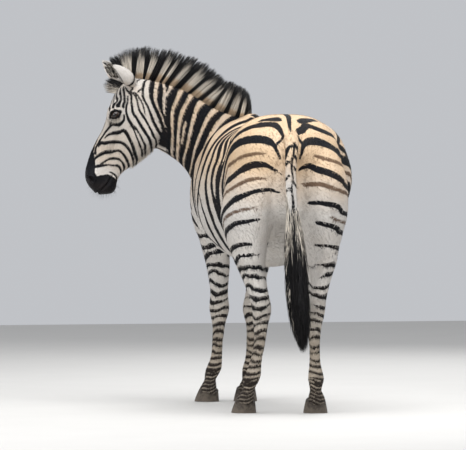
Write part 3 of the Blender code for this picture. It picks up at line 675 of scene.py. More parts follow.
# black bands of the left haunch on the flank chart: (forward, height, half width); the right haunch carries its own
HAUNCH_LEFT = (
    ((-80, 1262, 5), (-200, 1266, 6), (-330, 1262, 4)),
    ((370, 700, 12), (350, 800, 16), (290, 950, 18), (200, 1070, 17), (100, 1155, 14), (20, 1200, 12),
     (-100, 1235, 11), (-200, 1243, 10), (-280, 1243, 9), (-330, 1228, 10), (-355, 1205, 8), (-360, 1190, 6),
     (-345, 1172, 5), (-330, 1160, 6)),
    ((300, 720, 12), (270, 840, 18), (200, 960, 20), (120, 1060, 18), (60, 1112, 18), (0, 1145, 19),
     (-80, 1168, 18), (-160, 1179, 16.5), (-240, 1180, 15.5), (-290, 1172, 13), (-318, 1155, 8),
     (-335, 1130, 6), (-350, 1098, 3)),
    ((250, 680, 10), (220, 780, 16), (160, 870, 17), (100, 935, 15), (30, 985, 14), (-80, 1018, 14.5),
     (-140, 1045, 14.5), (-200, 1066, 14.5), (-260, 1074, 11), (-290, 1070, 8), (-320, 1055, 5),
     (-348, 1040, 2)),
    ((200, 680, 8), (150, 750, 14), (80, 810, 14), (0, 857, 12), (-100, 905, 12), (-150, 925, 12),
     (-200, 941, 10.5), (-250, 958, 8), (-300, 966, 6), (-345, 955, 3)),
    ((150, 670, 8), (80, 735, 13), (0, 775, 12), (-80, 800, 10), (-150, 820, 8), (-200, 828, 7.5),
     (-265, 838, 3)),
    ((100, 645, 8), (30, 685, 10), (-80, 715, 9), (-160, 728, 8), (-220, 732, 4)),
)
HAUNCH_RIGHT = (
    ((-50, 1262, 5), (-200, 1262, 7), (-350, 1255, 5)),
    ((395, 720, 8), (375, 860, 13), (315, 1010, 15), (180, 1120, 14), (20, 1175, 11), (-150, 1205, 10),
     (-250, 1230, 11), (-300, 1240, 10), (-370, 1218, 12), (-400, 1212, 10), (-410, 1195, 6), (-400, 1178, 5),
     (-390, 1158, 6)),
    ((335, 690, 9), (325, 820, 13), (290, 950, 16), (225, 1050, 18), (120, 1090, 18), (0, 1100, 17),
     (-150, 1125, 17), (-200, 1140, 17), (-250, 1160, 16), (-300, 1172, 16), (-350, 1172, 14), (-380, 1163, 10),
     (-400, 1138, 6), (-412, 1100, 3)),
    ((275, 680, 9), (265, 800, 14), (235, 900, 17), (170, 970, 19), (80, 975, 18), (-60, 965, 12),
     (-220, 975, 11), (-260, 1003, 12), (-290, 1025, 13), (-320, 1042, 13.5), (-350, 1058, 13),
     (-375, 1068, 11), (-400, 1060, 6), (-420, 1045, 2)),
    ((225, 675, 9), (195, 765, 13), (120, 830, 13), (0, 845, 12), (-150, 850, 10), (-260, 865, 8),
     (-280, 885, 9), (-300, 898, 9.5), (-340, 908, 9), (-370, 910, 6), (-400, 913, 3)),
    ((200, 665, 8), (120, 735, 12), (0, 760, 10), (-150, 768, 8), (-260, 782, 8), (-275, 795, 9),
     (-300, 808, 8.5), (-330, 818, 7), (-355, 830, 3)),
    ((140, 640, 8), (50, 680, 10), (-100, 700, 9), (-240, 712, 8), (-330, 728, 3)),
)
# brown shadow stripes between them
SHADOW_LEFT = (
    ((300, 800, 6), (220, 960, 6), (130, 1075, 5), (40, 1150, 3)),
    ((260, 740, 6), (200, 870, 6), (120, 985, 6), (50, 1055, 6), (-50, 1083, 6), (-120, 1102, 6),
     (-180, 1113, 6), (-250, 1120, 4), (-290, 1118, 1)),
    ((220, 700, 5), (160, 800, 6), (80, 890, 6), (0, 940, 6), (-100, 968, 6), (-150, 985, 6), (-200, 1003, 6),
     (-260, 1014, 4), (-300, 1008, 1)),
    ((140, 720, 5), (50, 790, 5), (-20, 830, 5), (-80, 850, 5), (-150, 868, 5), (-200, 880, 5), (-260, 889, 2)),
)
SHADOW_RIGHT = (
    ((355, 800, 4), (335, 920, 6), (280, 1030, 6), (160, 1105, 4)),
    ((298, 760, 5), (268, 900, 7), (195, 1015, 7), (60, 1035, 6), (-100, 1045, 6), (-200, 1067, 6),
     (-260, 1085, 6), (-310, 1100, 6), (-350, 1112, 3)),
    ((245, 730, 5), (215, 830, 9), (130, 895, 9), (0, 908, 7), (-150, 925, 6), (-260, 955, 6), (-300, 970, 7),
     (-330, 985, 7.5), (-355, 990, 7.5), (-400, 985, 6), (-420, 970, 2)),
    ((100, 785, 4), (-100, 805, 4), (-270, 830, 4), (-310, 850, 3)),
)
# black bands of barrel and shoulder on the same chart
BARREL = (
    ((780, 1290, 28), (740, 1200, 27), (675, 1130, 28), (640, 1080, 24), (655, 1020, 17), (680, 960, 15),
     (690, 880, 12), (685, 820, 4)),
    ((600, 1260, 16), (550, 1200, 21), (480, 1110, 26), (485, 1050, 21), (515, 1000, 15), (560, 930, 14),
     (600, 860, 13), (625, 780, 9)),
    ((520, 1260, 12), (460, 1190, 18), (380, 1100, 15), (410, 1000, 16), (420, 900, 17), (435, 800, 17),
     (460, 720, 14), (495, 665, 6)),
    ((535, 950, 3), (515, 890, 7), (510, 820, 10), (525, 740, 11), (550, 685, 5)),
    ((700, 850, 4), (690, 815, 9), (650, 780, 10), (600, 740, 9), (550, 695, 4)),
    ((880, 1240, 16), (850, 1140, 19), (815, 1040, 16), (785, 950, 13), (765, 885, 9), (755, 835, 3)),
    ((970, 1150, 12), (935, 1090, 15), (895, 1020, 14), (865, 970, 9), (850, 930, 3)),
    ((785, 785, 3), (830, 820, 11), (890, 836, 13.5), (960, 826, 13), (1040, 800, 12), (1250, 790, 12)),
    ((825, 865, 3), (870, 893, 10), (920, 901, 12.5), (980, 888, 13), (1050, 862, 12), (1250, 850, 12)),
    ((885, 950, 3), (925, 962, 10), (980, 952, 12), (1050, 925, 12), (1250, 910, 12)),
    ((955, 1025, 3), (995, 1024, 10), (1050, 990, 12), (1250, 970, 12)),
)
SADDLE_LEFT = (
    ((450, 1258, 10), (390, 1190, 15), (310, 1100, 13), (340, 1000, 12), (350, 900, 12), (365, 800, 12),
     (395, 710, 12), (425, 655, 6)),
    ((390, 1258, 8), (330, 1190, 10), (250, 1100, 11), (285, 1000, 9), (300, 945, 3)),
    ((340, 1260, 9), (270, 1190, 11), (190, 1110, 12), (220, 1040, 10), (260, 970, 5)),
    ((270, 1264, 9), (190, 1200, 12), (115, 1150, 10), (120, 1120, 5)),
)
SADDLE_RIGHT = (
    ((450, 1258, 10), (390, 1190, 15), (320, 1110, 13), (335, 1050, 8), (345, 1010, 3)),
    ((390, 1258, 8), (330, 1190, 10), (255, 1115, 10), (250, 1085, 3)),
    ((340, 1260, 9), (270, 1190, 11), (200, 1130, 9), (180, 1115, 3)),
    ((270, 1264, 9), (190, 1200, 11), (120, 1165, 7)),
)
# black lines of the face on its chart: (along the head, round it from the brow, half width)
FACE = (
    ((170, 18, 2), (220, 14, 4), (270, 10, 4), (320, 10, 5), (360, 12, 7)),
    ((70, 10, 3), (110, 12, 5), (150, 12, 3)),
    ((156, 102, 3), (180, 111, 5), (200, 105, 6.5), (212, 88, 6.8), (215, 76, 6), (232, 58, 5.5), (256, 44, 6),
     (285, 32, 6), (315, 26, 5), (340, 22, 4), (365, 28, 6)),
    ((286, 48, 3), (266, 62, 6), (250, 88, 8), (236, 110, 9), (223, 130, 9), (230, 155, 9), (250, 188, 8),
     (268, 212, 7), (290, 230, 7), (315, 244, 6), (345, 262, 5)),
    ((330, 31, 4), (313, 36, 7), (307, 55, 8), (295, 85, 8), (283, 112, 7.5), (277, 142, 7), (281, 178, 7),
     (293, 207, 7), (310, 224, 6), (332, 236, 5), (350, 246, 3)),
    ((387, 34, 5), (365, 46, 7), (347, 62, 8), (336, 86, 8), (323, 120, 7), (315, 150, 6), (320, 180, 6),
     (333, 204, 7), (350, 219, 6), (372, 236, 5)),
    ((399, 59, 3), (381, 78, 5), (365, 98, 6), (355, 134, 6), (350, 168, 5.5), (358, 194, 5.5), (372, 210, 6),
     (395, 226, 4)),
    ((424, 42, 6), (411, 57, 7), (400, 78, 6), (390, 110, 4), (385, 145, 5), (380, 178, 6), (389, 198, 6),
     (408, 216, 4)),
    ((420, 135, 3), (420, 162, 4), (426, 188, 5), (440, 204, 4)),
    ((90, 14, 3), (122, 40, 3.8), (147, 59, 4.2), (163, 67, 3)),
    ((66, 16, 3), (93, 35, 4.5), (125, 62, 4.2), (145, 72, 4)),
    ((52, 24, 3), (69, 40, 4.5), (103, 60, 4.8), (132, 79, 5.2)),
    ((42, 34, 3), (64, 55, 5), (91, 71, 5.2), (127, 89, 3.8)),
    ((74, 78, 3.5), (95, 88, 4), (119, 96, 4), (140, 104, 4.5), (165, 124, 6), (181, 151, 7.2), (194, 178, 6.2),
     (208, 196, 4), (235, 221, 3.8), (259, 240, 4), (275, 254, 4), (300, 262, 4)),
    ((184, 166, 3), (193, 195, 4.5), (212, 225, 4.2), (238, 245, 4.2), (261, 261, 4.5), (285, 270, 4)),
    ((41, 45, 3), (52, 63, 4), (60, 79, 4), (68, 92, 4.5), (91, 104, 5.2), (114, 121, 6), (134, 137, 6.5),
     (152, 171, 6.5), (171, 206, 6.5), (192, 239, 6.5), (209, 257, 6), (228, 267, 5.5), (251, 286, 5),
     (270, 300, 4)),
    ((50, 74, 3), (53, 88, 4), (58, 103, 4.5), (70, 120, 4.5), (86, 135, 4.5), (100, 149, 5), (113, 165, 5.2),
     (128, 191, 5.5), (144, 220, 5.5), (160, 240, 5), (180, 260, 5), (203, 278, 5), (223, 298, 5),
     (244, 305, 5)),
    ((47, 95, 3), (53, 114, 3.6), (63, 133, 4), (74, 153, 4), (86, 171, 4.2), (104, 189, 4), (123, 207, 2)),
    ((-50, 70, 9), (-12, 103, 8), (10, 122, 7.5), (33, 137, 7), (49, 148, 6.5), (65, 169, 6), (76, 189, 5.8),
     (88, 207, 5.8), (101, 221, 6), (119, 240, 6.5), (134, 252, 6.8), (151, 267, 7), (167, 281, 6.5),
     (183, 299, 6), (202, 310, 4)),
    ((10, 122, 6), (19, 119, 5.5), (28, 114, 6), (40, 110, 5)),
    ((-20, 53, 3), (-1, 63, 4.2), (11, 63, 4.5), (20, 61, 4.5), (28, 70, 4), (38, 79, 4), (44, 75, 3)),
    ((-60, 150, 9), (-12, 163, 9), (8, 173, 9), (27, 190, 9), (46, 204, 8.5), (63, 225, 8.5), (85, 250, 8.5),
     (104, 268, 8), (126, 281, 6.5), (144, 291, 6), (161, 299, 6), (182, 305, 6), (213, 309, 6), (260, 330, 6)),
)
DOCK_LINES = (
    ((6, 1195, 5), (4, 1150, 4.5), (-1, 1068, 4), (4, 1012, 3.5), (0, 975, 4), (1, 900, 6), (1, 840, 12),
     (1, 770, 18)),
    ((4, 1158, 4.5), (-14, 1152, 5.5), (-26, 1130, 6), (-29, 1095, 4)),
    ((6, 1158, 4.5), (19, 1148, 5.5), (27, 1128, 5.5), (30, 1100, 3)),
    ((-7, 1096, 4), (-25, 1073, 5.5)),
    ((9, 1115, 4), (26, 1088, 5.5)),
    ((11, 1064, 4), (26, 1043, 4.5)),
    ((-10, 1032, 3.5), (-25, 1010, 4.5)),
    ((10, 998, 3), (26, 976, 4.5)),
    ((-12, 975, 3), (-26, 955, 4)),
)
MUZZLE_EDGE = thousandths((  # round the head, and along it
    (0, 355), (20, 362), (34, 390), (45, 420), (58, 445), (70, 458), (80, 447), (100, 440), (120, 432),
    (150, 430), (200, 440), (300, 450),
))
NAPE = thousandths((  # where the neck's chart ends and the head's starts
    (-300, 770), (70, 790), (120, 800), (240, 790), (300, 780), (380, 750), (450, 732), (520, 718), (580, 700),
    (630, 675), (700, 660), (1100, 650),
))
PASTERN_STEP, PASTERN_TOP = 0.0165, 0.150      # spacing of the fine rings above the hoof, and where they end
# height of the lowest and highest ring, spacing below and above, half width below and above, slant, fading inside
LEG_RINGS = {
    "hindleg_left": (0.130, 0.690, 0.0225, 0.0480, 0.0064, 0.0110, 0.20, 0.45),
    "hindleg_right": (0.130, 0.690, 0.0235, 0.0475, 0.0062, 0.0105, 0.16, 0.95),
    "foreleg_left": (0.125, 0.765, 0.0225, 0.0490, 0.0064, 0.0115, 0.12, 0.45),
    "foreleg_right": (0.125, 0.765, 0.0225, 0.0500, 0.0064, 0.0115, 0.12, 0.60),
}


def gap_field(across, along, gaps):
    """Signed share inside the nearest pale gap, for gaps keyed by (across, along, half width)."""
    best = np.full(len(along), -1.0)
    for keys in gaps:
        rows = curve(thousandths(keys), 6 * len(keys))
        past = np.maximum(rows[0, 0] - across, across - rows[-1, 0]).clip(0)
        best = np.maximum(best, read_off(across, rows, 2) - np.hypot(along - read_off(across, rows), past * 0.6))
    return best


def leg_marks(points, leg):
    """One leg's rings: where they rule, how far they have faded in from the body, and signed distance inside them."""
    low, high, step_low, step_high, half_low, half_high, slant, fade = LEG_RINGS[leg]
    profile, hoof_x, hoof_y, _, sway = LEGS[leg]
    x, y, z = points.T
    ahead = y - (hoof_y + read_off(z, profile))
    outward = (x - read_off(z, sway)) * np.sign(hoof_x)
    reach = 0.115 if hoof_y > HIND_TO_FORE else 0.20
    fade_in = np.where(z > 0.60, np.clip((reach - np.abs(ahead)) / 0.035, 0, 1), 1.0)
    chosen = (z < high) & on_leg(x, y, hoof_x, hoof_y) & (fade_in > 0)
    around = np.arctan2(ahead, outward)
    calm = np.interp(z, (0.12, 0.60), (0.30, 0.95))
    uneven = 0.010 * np.sin(around * 2 + z * 21) + 0.008 * waver(points, 0.09, 11)
    lifted = z + slant * 0.6 * outward + calm * uneven
    heights = [low]
    while heights[-1] < high:
        climbed = (heights[-1] - low) / (high - low)
        heights.append(heights[-1] + step_low + (step_high - step_low) * climbed**0.8)
    field = np.full(len(points), CLEAR)
    for k, level in enumerate(heights):
        f = (level - low) / (high - low)
        bend = calm * 0.006 * math.sin(k * 2.4) * np.sin(around + k)
        bend += calm * (0.007 * math.cos(k * 5.1)) * np.cos(around * 1.5 + k * 1.7)
        half = half_low + (half_high - half_low) * f
        inside = np.clip(0.2 - outward / 0.04, 0, 1) * fade * (0.65 + 0.5 * math.sin(k * 1.9)) * (0.5 + 0.6 * f)
        weight = 1.0 + 0.16 * np.sin(around + 1.3 * k) - inside
        field = np.maximum(field, half * np.clip(weight, -1, 1.25) - np.abs(lifted - level - bend))
    rings = (z + 0.25 * outward + 0.004 * np.sin(around * 3)) / PASTERN_STEP
    pastern = 0.0052 - np.abs(rings % 1.0 - 0.5) * PASTERN_STEP
    return chosen, fade_in, np.where(z < PASTERN_TOP, np.maximum(field * (z > 0.11), pastern), field)


def ear_marks(points, name):
    """One ear: where it is, signed distance inside its dark edge and band, and where its cup is."""
    length_share, turn, reach, wrap = ear_places(points, name)
    mine = (length_share > 0.14) & (length_share < 1.05)
    mine &= (reach > 0.72) & (reach < 1.20) & (np.abs(turn) < wrap + 14)
    mine[mine] = [earless.find_nearest(p)[3] > EAR_CLEAR for p in points[mine].tolist()]
    cup = mine & (reach < 0.90) & (np.abs(turn) < wrap - 9) & (length_share < 0.93)
    edge = 0.0022 - np.abs(np.abs(turn) - wrap + 9) * 0.0005
    band = 0.0050 - np.maximum(length_share - 0.17, 0) * 0.10
    outside = np.maximum(np.where(turn > 0, edge, -0.01), band)
    return mine, np.where(reach > 0.93, outside, -0.01), cup


def markings(points):
    """Marks of the hide at any points: signed metres inside black and inside brown, and shares of the others."""
    count = len(points)
    share, across = neck_places(points)
    forward, height, out = flank_places(points)
    along, round_head, side = face_places(points)
    x, y, z = points.T
    left = out < 0
    shake = waver(points, 0.11, 3) * 0.0030
    # barrel, shoulder and haunch
    black, brown = np.full(count, CLEAR), np.full(count, CLEAR)
    for chosen, haunch, shadow in (
        (left, HAUNCH_LEFT + SADDLE_LEFT, SHADOW_LEFT),
        (~left, HAUNCH_RIGHT + SADDLE_RIGHT, SHADOW_RIGHT),
    ):
        u, v = forward[chosen] + shake[chosen], height[chosen] + shake[chosen] * 0.6
        barrel = stroke_field(u, v, BARREL) + 0.0045 * eased(u, 0.45, 0.85)
        black[chosen] = np.maximum(stroke_field(u, v, haunch) + 0.0020, barrel)
        brown[chosen] = stroke_field(u, v, shadow) + 0.0028
    # croup and back: a dark line along the middle with white beside it
    top = (y > -0.165) & (y < 0.75) & (z > np.where(y > 0.05, 1.19, 1.12))
    spine = np.abs(out - np.interp(y, [-0.16, -0.108, -0.05, 0.066, 0.30], [-0.030, -0.015, -0.010, 0.006, 0.0]))
    half = np.interp(y, [-0.16, -0.108, -0.02, 0.07, 0.60], [0.0040, 0.0045, 0.0095, 0.0125, 0.017])
    black = np.where(top & (spine < 0.030), np.maximum(np.where(spine < 0.024, CLEAR, black), half - spine), black)
    # belly and inner thighs stay pale
    thigh = np.clip((0.085 - np.abs(out)) / 0.03, 0, 1) * (z < 0.86) * (y < HIND_TO_FORE)
    inner = np.maximum(np.clip((0.050 - np.abs(out)) / 0.05, 0, 1), thigh) * (y > -0.17) * (z < 0.98)
    black -= inner * 0.03
    brown -= inner * 0.03
    # legs: rings that break up on the inner side
    for leg in LEG_RINGS:
        chosen, fade_in, field = leg_marks(points, leg)
        black = np.where(chosen, np.maximum(field - 0.015 * (1 - fade_in), black - 0.03 * fade_in), black)
        brown = np.where(chosen, brown - 0.03 * fade_in, brown)
    # neck
    nape = read_off(across, NAPE)
    on_neck = (share > 0.245) & (share < nape) & (across < 1.06) & (y > 0.8) & (z > 0.86)
    slide = np.where(side < 0, 0.014 * np.sin(7 * across + 9 * share), 0.0)
    wander = across + waver(points, 0.07, 8) * 0.004, share + slide + waver(points, 0.05, 9) * 0.0016
    neck = -gap_field(*wander, NECK_GAPS) * NECK_LENGTH
    black = np.where(on_neck, neck, black)
    # head
    on_head = (share >= nape) & (x < -0.10) & (y > 0.85) & (z > 0.7)
    jitter = waver(points, 0.06, 6) * 0.0012
    uneven = np.where(side < 0, 0.004 * np.sin(round_head * 40), 0)
    face = stroke_field(along + jitter + uneven, round_head + jitter, FACE)
    muzzle = along - read_off(round_head, MUZZLE_EDGE)
    black = np.where(on_head, np.maximum(face, muzzle), black)
    muzzle = np.where(on_head, muzzle, -0.3)
    # lids are black, and so is the skin behind them
    u, v, outward, rim = slit_places(points)
    lids = 0.0056 - rim + 0.0040 * (u < -0.008) + 0.0015 * (v > 0)
    by_eye = on_head & (np.hypot(u, v) < EYE_REACH) & (np.abs(side) > BESIDE_NOSE)
    black = np.where(by_eye, np.maximum(np.where(rim < 0.013, -0.005, black), lids), black)
    # dock: a black line down its middle from a dark arch at its root, with ticks to both sides
    falling = dock_rows[:, (2, 0, 1, 3)]
    dock_x, dock_y, wide = (read_off(z, falling, k) for k in (1, 2, 3))
    on_dock = (z < 1.172) & (y < dock_y + 0.010) & (np.abs(x - dock_x) < wide + 0.004)
    black = np.where(on_dock, stroke_field(x - dock_x + 0.0015 * np.sin(z * 60), z, DOCK_LINES) + 0.0008, black)
    # ears: pale backs with a dark edge, dark cups, their darkness partly the skin's own and partly painted shade of
    # the hollow
    cup, on_ears = np.zeros(count), np.zeros(count, bool)
    for name in EARS:
        mine, dark, in_cup = ear_marks(points, name)
        black, cup = np.where(mine, dark, black), np.where(in_cup, 1.0, cup)
        on_ears |= mine
    brown = np.where(on_neck | on_head | on_dock | on_ears, CLEAR, brown)
    # ground: cream above, white on the inner side and the belly, dusty beige down the legs
    warm = np.clip((z - 0.86) / 0.22, 0, 1) * np.where(y < 0.2, 1.0, 0.85)
    neck_warm = np.clip(0.55 + (share < 0.62) * 0.25 - across * 0.15 + waver(points, 0.09, 14) * 0.15, 0, 1)
    neck_warm = np.where(share > 0.72, np.clip(0.62 - (share - 0.72) * 2.2, 0.12, 1), neck_warm)
    head_warm = 0.16 + 0.22 * np.clip((along - 0.24) / 0.1, 0, 1) - 0.3 * np.clip((along - 0.39) / 0.03, 0, 1)
    warm = np.where(on_head, head_warm, np.where(on_neck, neck_warm, warm))
    warm = np.where(on_dock, np.clip((z - 0.98) / 0.14, 0, 0.9), warm)
    warm = np.where(on_head & (along < 0.02) & (round_head < 0.1), 0.0, warm)
    return {
        "black": np.clip(black, PALE, DARK),
        "brown": np.clip(brown, PALE, DARK),
        "warm": np.clip(warm, 0, 1),
        "dust": np.clip((0.52 - z) / 0.24, 0, 1),
        "muzzle": np.clip(muzzle * 20 + 0.2, 0, 1),
        "cup": cup,
    }


class Wire:
    """A shader socket that can be added, multiplied and so on."""

    def __init__(self, tree, socket):
        self.tree, self.socket = tree, socket

    def _math(self, operation, first, second, clamp=False):
        node = self.tree.nodes.new("ShaderNodeMath")
        node.operation, node.use_clamp = operation, clamp
        for place, value in enumerate((first, second)):
            if isinstance(value, Wire):
                self.tree.links.new(value.socket, node.inputs[place])
            elif value is not None:
                node.inputs[place].default_value = value
        return Wire(self.tree, node.outputs[0])

    def __add__(self, other):
        return self._math("ADD", self, other)

    __radd__ = __add__

    def __mul__(self, other):
        return self._math("MULTIPLY", self, other)

    __rmul__ = __mul__

    def __sub__(self, other):
        return self._math("SUBTRACT", self, other)

    def __rsub__(self, other):
        return self._math("SUBTRACT", other, self)

    def __truediv__(self, other):
        return self._math("DIVIDE", self, other)

    def clamped(self):
        return self._math("ADD", self, 0.0, clamp=True)


def add_node(tree, kind, settings, sockets):
    """A node of the tree with its settings and socket values. A socket goes by its name, or by number as in _0."""
    node = tree.nodes.new(kind)
    for key, value in (settings or {}).items():
        setattr(node, key, value)
    for key, value in sockets.items():
        socket = node.inputs[int(key[1:]) if key[1:].isdigit() else key.replace("_", " ")]
        if isinstance(value, bpy.types.NodeSocket):
            tree.links.new(value, socket)
        else:
            socket.default_value = value
    return node


class Finish:
    """One material, with its nodes made by kind, settings and socket values."""

    def __init__(self, name):
        self.material = bpy.data.materials.new(name)
        self.material.use_nodes = True
        self.tree = self.material.node_tree
        self.tree.nodes.clear()

    def node(self, kind, settings=None, output=0, **sockets):
        sockets = {key: value.socket if isinstance(value, Wire) else value for key, value in sockets.items()}
        node = add_node(self.tree, kind, settings, sockets)
        return Wire(self.tree, node.outputs[output]) if output is not None else node

    def attribute(self, name):
        return self.node("ShaderNodeAttribute", {"attribute_name": name}, 2)

    def noise(self, scale, detail):
        place = self.node("ShaderNodeTexCoord", None, 3)
        return self.node("ShaderNodeTexNoise", None, 0, Vector=place, Scale=scale, Detail=detail, Roughness=0.55)

    def mixed(self, share, first, second, blend="MIX"):
        colours = {"data_type": "RGBA", "blend_type": blend}
        return self.node("ShaderNodeMix", colours, 2, _0=share, _6=first, _7=second)

    def stepped(self, value, low, high):
        """Zero below low, one above high, smooth between."""
        smooth = {"interpolation_type": "SMOOTHSTEP"}
        return self.node("ShaderNodeMapRange", smooth, 0, Value=value, From_Min=low, From_Max=high)

    def bump(self, height, strength, distance):
        return self.node("ShaderNodeBump", None, 0, Strength=strength, Distance=distance, Height=height)

    def finish(self, **sockets):
        surface = self.node("ShaderNodeBsdfPrincipled", None, 0, **sockets)
        self.node("ShaderNodeOutputMaterial", None, None, Surface=surface)
        return self.material


CREAM = (0.640, 0.470, 0.305, 1)
WHITE = (0.640, 0.610, 0.575, 1)
BEIGE = (0.500, 0.430, 0.345, 1)
BLACK = (0.0042, 0.0046, 0.0065, 1)
BROWN = (0.092, 0.049, 0.026, 1)
UMBER = (0.022, 0.013, 0.009, 1)


def hide_finish(name):
    """The painted hide. The skin and every piece of its coat read the same marks, carried at their roots."""
    make = Finish(name)
    fine = make.noise(260, 3)
    patchy = make.noise(9, 4)
    warm, dust = make.attribute("warm"), make.attribute("dust")
    ground = make.mixed((warm + (patchy - 0.5) * 0.5).clamped(), WHITE, CREAM)
    ground = make.mixed((dust * (0.75 + patchy * 0.5)).clamped(), ground, BEIGE)
    grain = make.mixed(make.stepped(fine, 0.25, 0.75), (0.80, 0.79, 0.78, 1), (1.06, 1.06, 1.06, 1))
    ground = make.mixed(1.0, ground, grain, "MULTIPLY")
    edge = (fine - 0.5) * 0.0035
    brown = make.stepped(make.attribute("brown") + edge * 2.2, -0.003, 0.003)
    coat = make.mixed(brown * 0.92, ground, BROWN)
    black = make.stepped(make.attribute("black") + edge, -0.0014, 0.0014)
    # the ears' cups: dark skin, darkened further as painted shade of their hollows
    cup_skin_and_shade = make.mixed(make.stepped(fine, 0.35, 0.7), (0.020, 0.014, 0.011, 1), (0.14, 0.11, 0.085, 1))
    coat = make.mixed(make.stepped(make.attribute("cup"), 0.4, 0.6), coat, cup_skin_and_shade)
    dark = make.mixed(make.stepped(patchy, 0.4, 0.75) * 0.35, BLACK, UMBER)
    dark = make.mixed((dust * 0.55).clamped(), dark, (0.050, 0.038, 0.030, 1))
    coat = make.mixed(black, coat, dark)
    rough = 0.62 + fine * 0.2 - make.attribute("muzzle") * 0.22
    normal = make.bump(fine + make.noise(90, 2) * 0.6, 0.55, 0.0015)
    return make.finish(Base_Color=coat, Roughness=rough, Normal=normal, Specular_IOR_Level=0.16)


hide = hide_finish("zebra_hide")


def write_marks(mesh, marks):
    for name, values in marks.items():
        layer = mesh.attributes.get(name) or mesh.attributes.new(name, "FLOAT", "POINT")
        layer.data.foreach_set("value", np.asarray(values, np.float32))


write_marks(skin.data, markings(positions(skin.data)))
skin.data.materials.clear()
skin.data.materials.append(hide)
for face in skin.data.polygons:
    face.use_smooth = True
bpy.context.view_layer.objects.active = skin
skin.select_set(True)
bpy.ops.object.mode_set(mode="EDIT")
bpy.ops.mesh.select_all(action="SELECT")
bpy.ops.uv.smart_project(angle_limit=math.radians(72.0), island_margin=0.001)
bpy.ops.object.mode_set(mode="OBJECT")
skin.data.uv_layers[0].name = "OFBake"
skin.data.transform(Matrix.Translation(HIND_FEET))
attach(skin, "root")
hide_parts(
    "trunk", "neck", "head", "ear_left", "ear_right",
    "foreleg_left", "foreleg_right", "hindleg_left", "hindleg_right", "tail_dock",
)


# --- short coat -----------------------------------------------------------------------------------------------------
# Short flat hair, 7 mm on the face and feet to 17 mm on the body. It lies from poll to tail and down the legs, and is
# set in the hide as small thin tufts, each with its own patch of the hide's colours.
PATCH = 0.003
COAT_REGIONS = {  # tufts, length, width, lift
    "coat_trunk": (19600, 0.0170, 0.0030, 0.0012),
    "coat_neck": (15000, 0.0150, 0.0026, 0.0012),
    "coat_head": (19000, 0.0080, 0.0015, 0.0008),
    "coat_forelegs": (14500, 0.0120, 0.0020, 0.0010),
    "coat_hindlegs": (15500, 0.0130, 0.0022, 0.0010),
}


def lock_mesh(name, rows, sides):
    """A thin closed lock, one unit long and wide. Rows: place along it, width, height of its middle, thickness."""
    points, faces, rises, spots = [], [], [], []
    for r, (place, width, middle, thick) in enumerate(rows):
        for k in range(sides):
            a = 2 * math.pi * (k + 0.25 * (sides == 4)) / sides + math.pi / 2
            points.append((math.cos(a) * width / 2, middle + math.sin(a) * thick / 2, place))
            rises.append(place)
            spots.append((math.cos(a) * 0.25, place - 0.5, 0))
    for r in range(len(rows) - 1):
        for k in range(sides):
            a, b = r * sides + k, r * sides + (k + 1) % sides
            faces.append((a, b, b + sides, a + sides))
    tip = len(points)
    points.append((0, rows[-1][2] * 1.05, 1.0 if rows[-1][0] < 1 else rows[-1][0] + 0.1))
    rises.append(1.0)
    spots.append((0, 0.5, 0))
    last = (len(rows) - 1) * sides
    faces += [(last + k, last + (k + 1) % sides, tip) for k in range(sides)]
    faces.append(tuple(range(sides - 1, -1, -1)))
    mesh = bpy.data.meshes.new(name)
    mesh.from_pydata(points, [], faces)
    write_marks(mesh, {"rise": rises})
    mesh.attributes.new("spot", "FLOAT_VECTOR", "POINT").data.foreach_set("vector", np.ravel(spots))
    return add_object(name, mesh)


def planting_tree():
    """Geometry nodes: a lock on each root, turned to lie its way, then made real with its patch of the unwrap."""
    tree = bpy.data.node_groups.new("planting", "GeometryNodeTree")
    for name, kind in (("Roots", "Geometry"), ("Lock", "Object"), ("Finish", "Material"), ("Patch", "Float")):
        tree.interface.new_socket(name, in_out="INPUT", socket_type="NodeSocket" + kind)
    tree.interface.new_socket("Hair", in_out="OUTPUT", socket_type="NodeSocketGeometry")

    def node(kind, settings=None, **sockets):
        return add_node(tree, kind, settings, sockets)

    def named(name):
        return node("GeometryNodeInputNamedAttribute", {"data_type": "FLOAT_VECTOR"}, Name=name).outputs[0]

    given = node("NodeGroupInput").outputs
    points = node("GeometryNodeMeshToPoints", None, Mesh=given["Roots"]).outputs[0]
    lock = node("GeometryNodeObjectInfo", None, Object=given["Lock"]).outputs["Geometry"]
    axes = {"primary_axis": "Z", "secondary_axis": "Y"}
    way, face = named("way"), named("face")
    turn = node("FunctionNodeAxesToRotation", axes, Primary_Axis=way, Secondary_Axis=face).outputs[0]
    grown = {"Points": points, "Instance": lock, "Rotation": turn, "Scale": named("size")}
    placed = node("GeometryNodeInstanceOnPoints", None, **grown).outputs[0]
    real = node("GeometryNodeRealizeInstances", None, Geometry=placed).outputs[0]
    spot = node("ShaderNodeVectorMath", {"operation": "SCALE"}, _0=named("spot"), Scale=given["Patch"]).outputs[0]
    place = node("ShaderNodeVectorMath", {"operation": "ADD"}, _0=named("root_uv"), _1=spot).outputs[0]
    corner = {"data_type": "FLOAT2", "domain": "CORNER"}
    mapped = node("GeometryNodeStoreNamedAttribute", corner, Geometry=real, Name="OFBake", Value=place).outputs[0]
    smooth = node("GeometryNodeSetShadeSmooth", None, _0=mapped).outputs[0]
    dressed = node("GeometryNodeSetMaterial", None, Geometry=smooth, Material=given["Finish"]).outputs[0]
    out = tree.nodes.new("NodeGroupOutput")
    tree.links.new(dressed, out.inputs[0])
    return tree


planting = planting_tree()


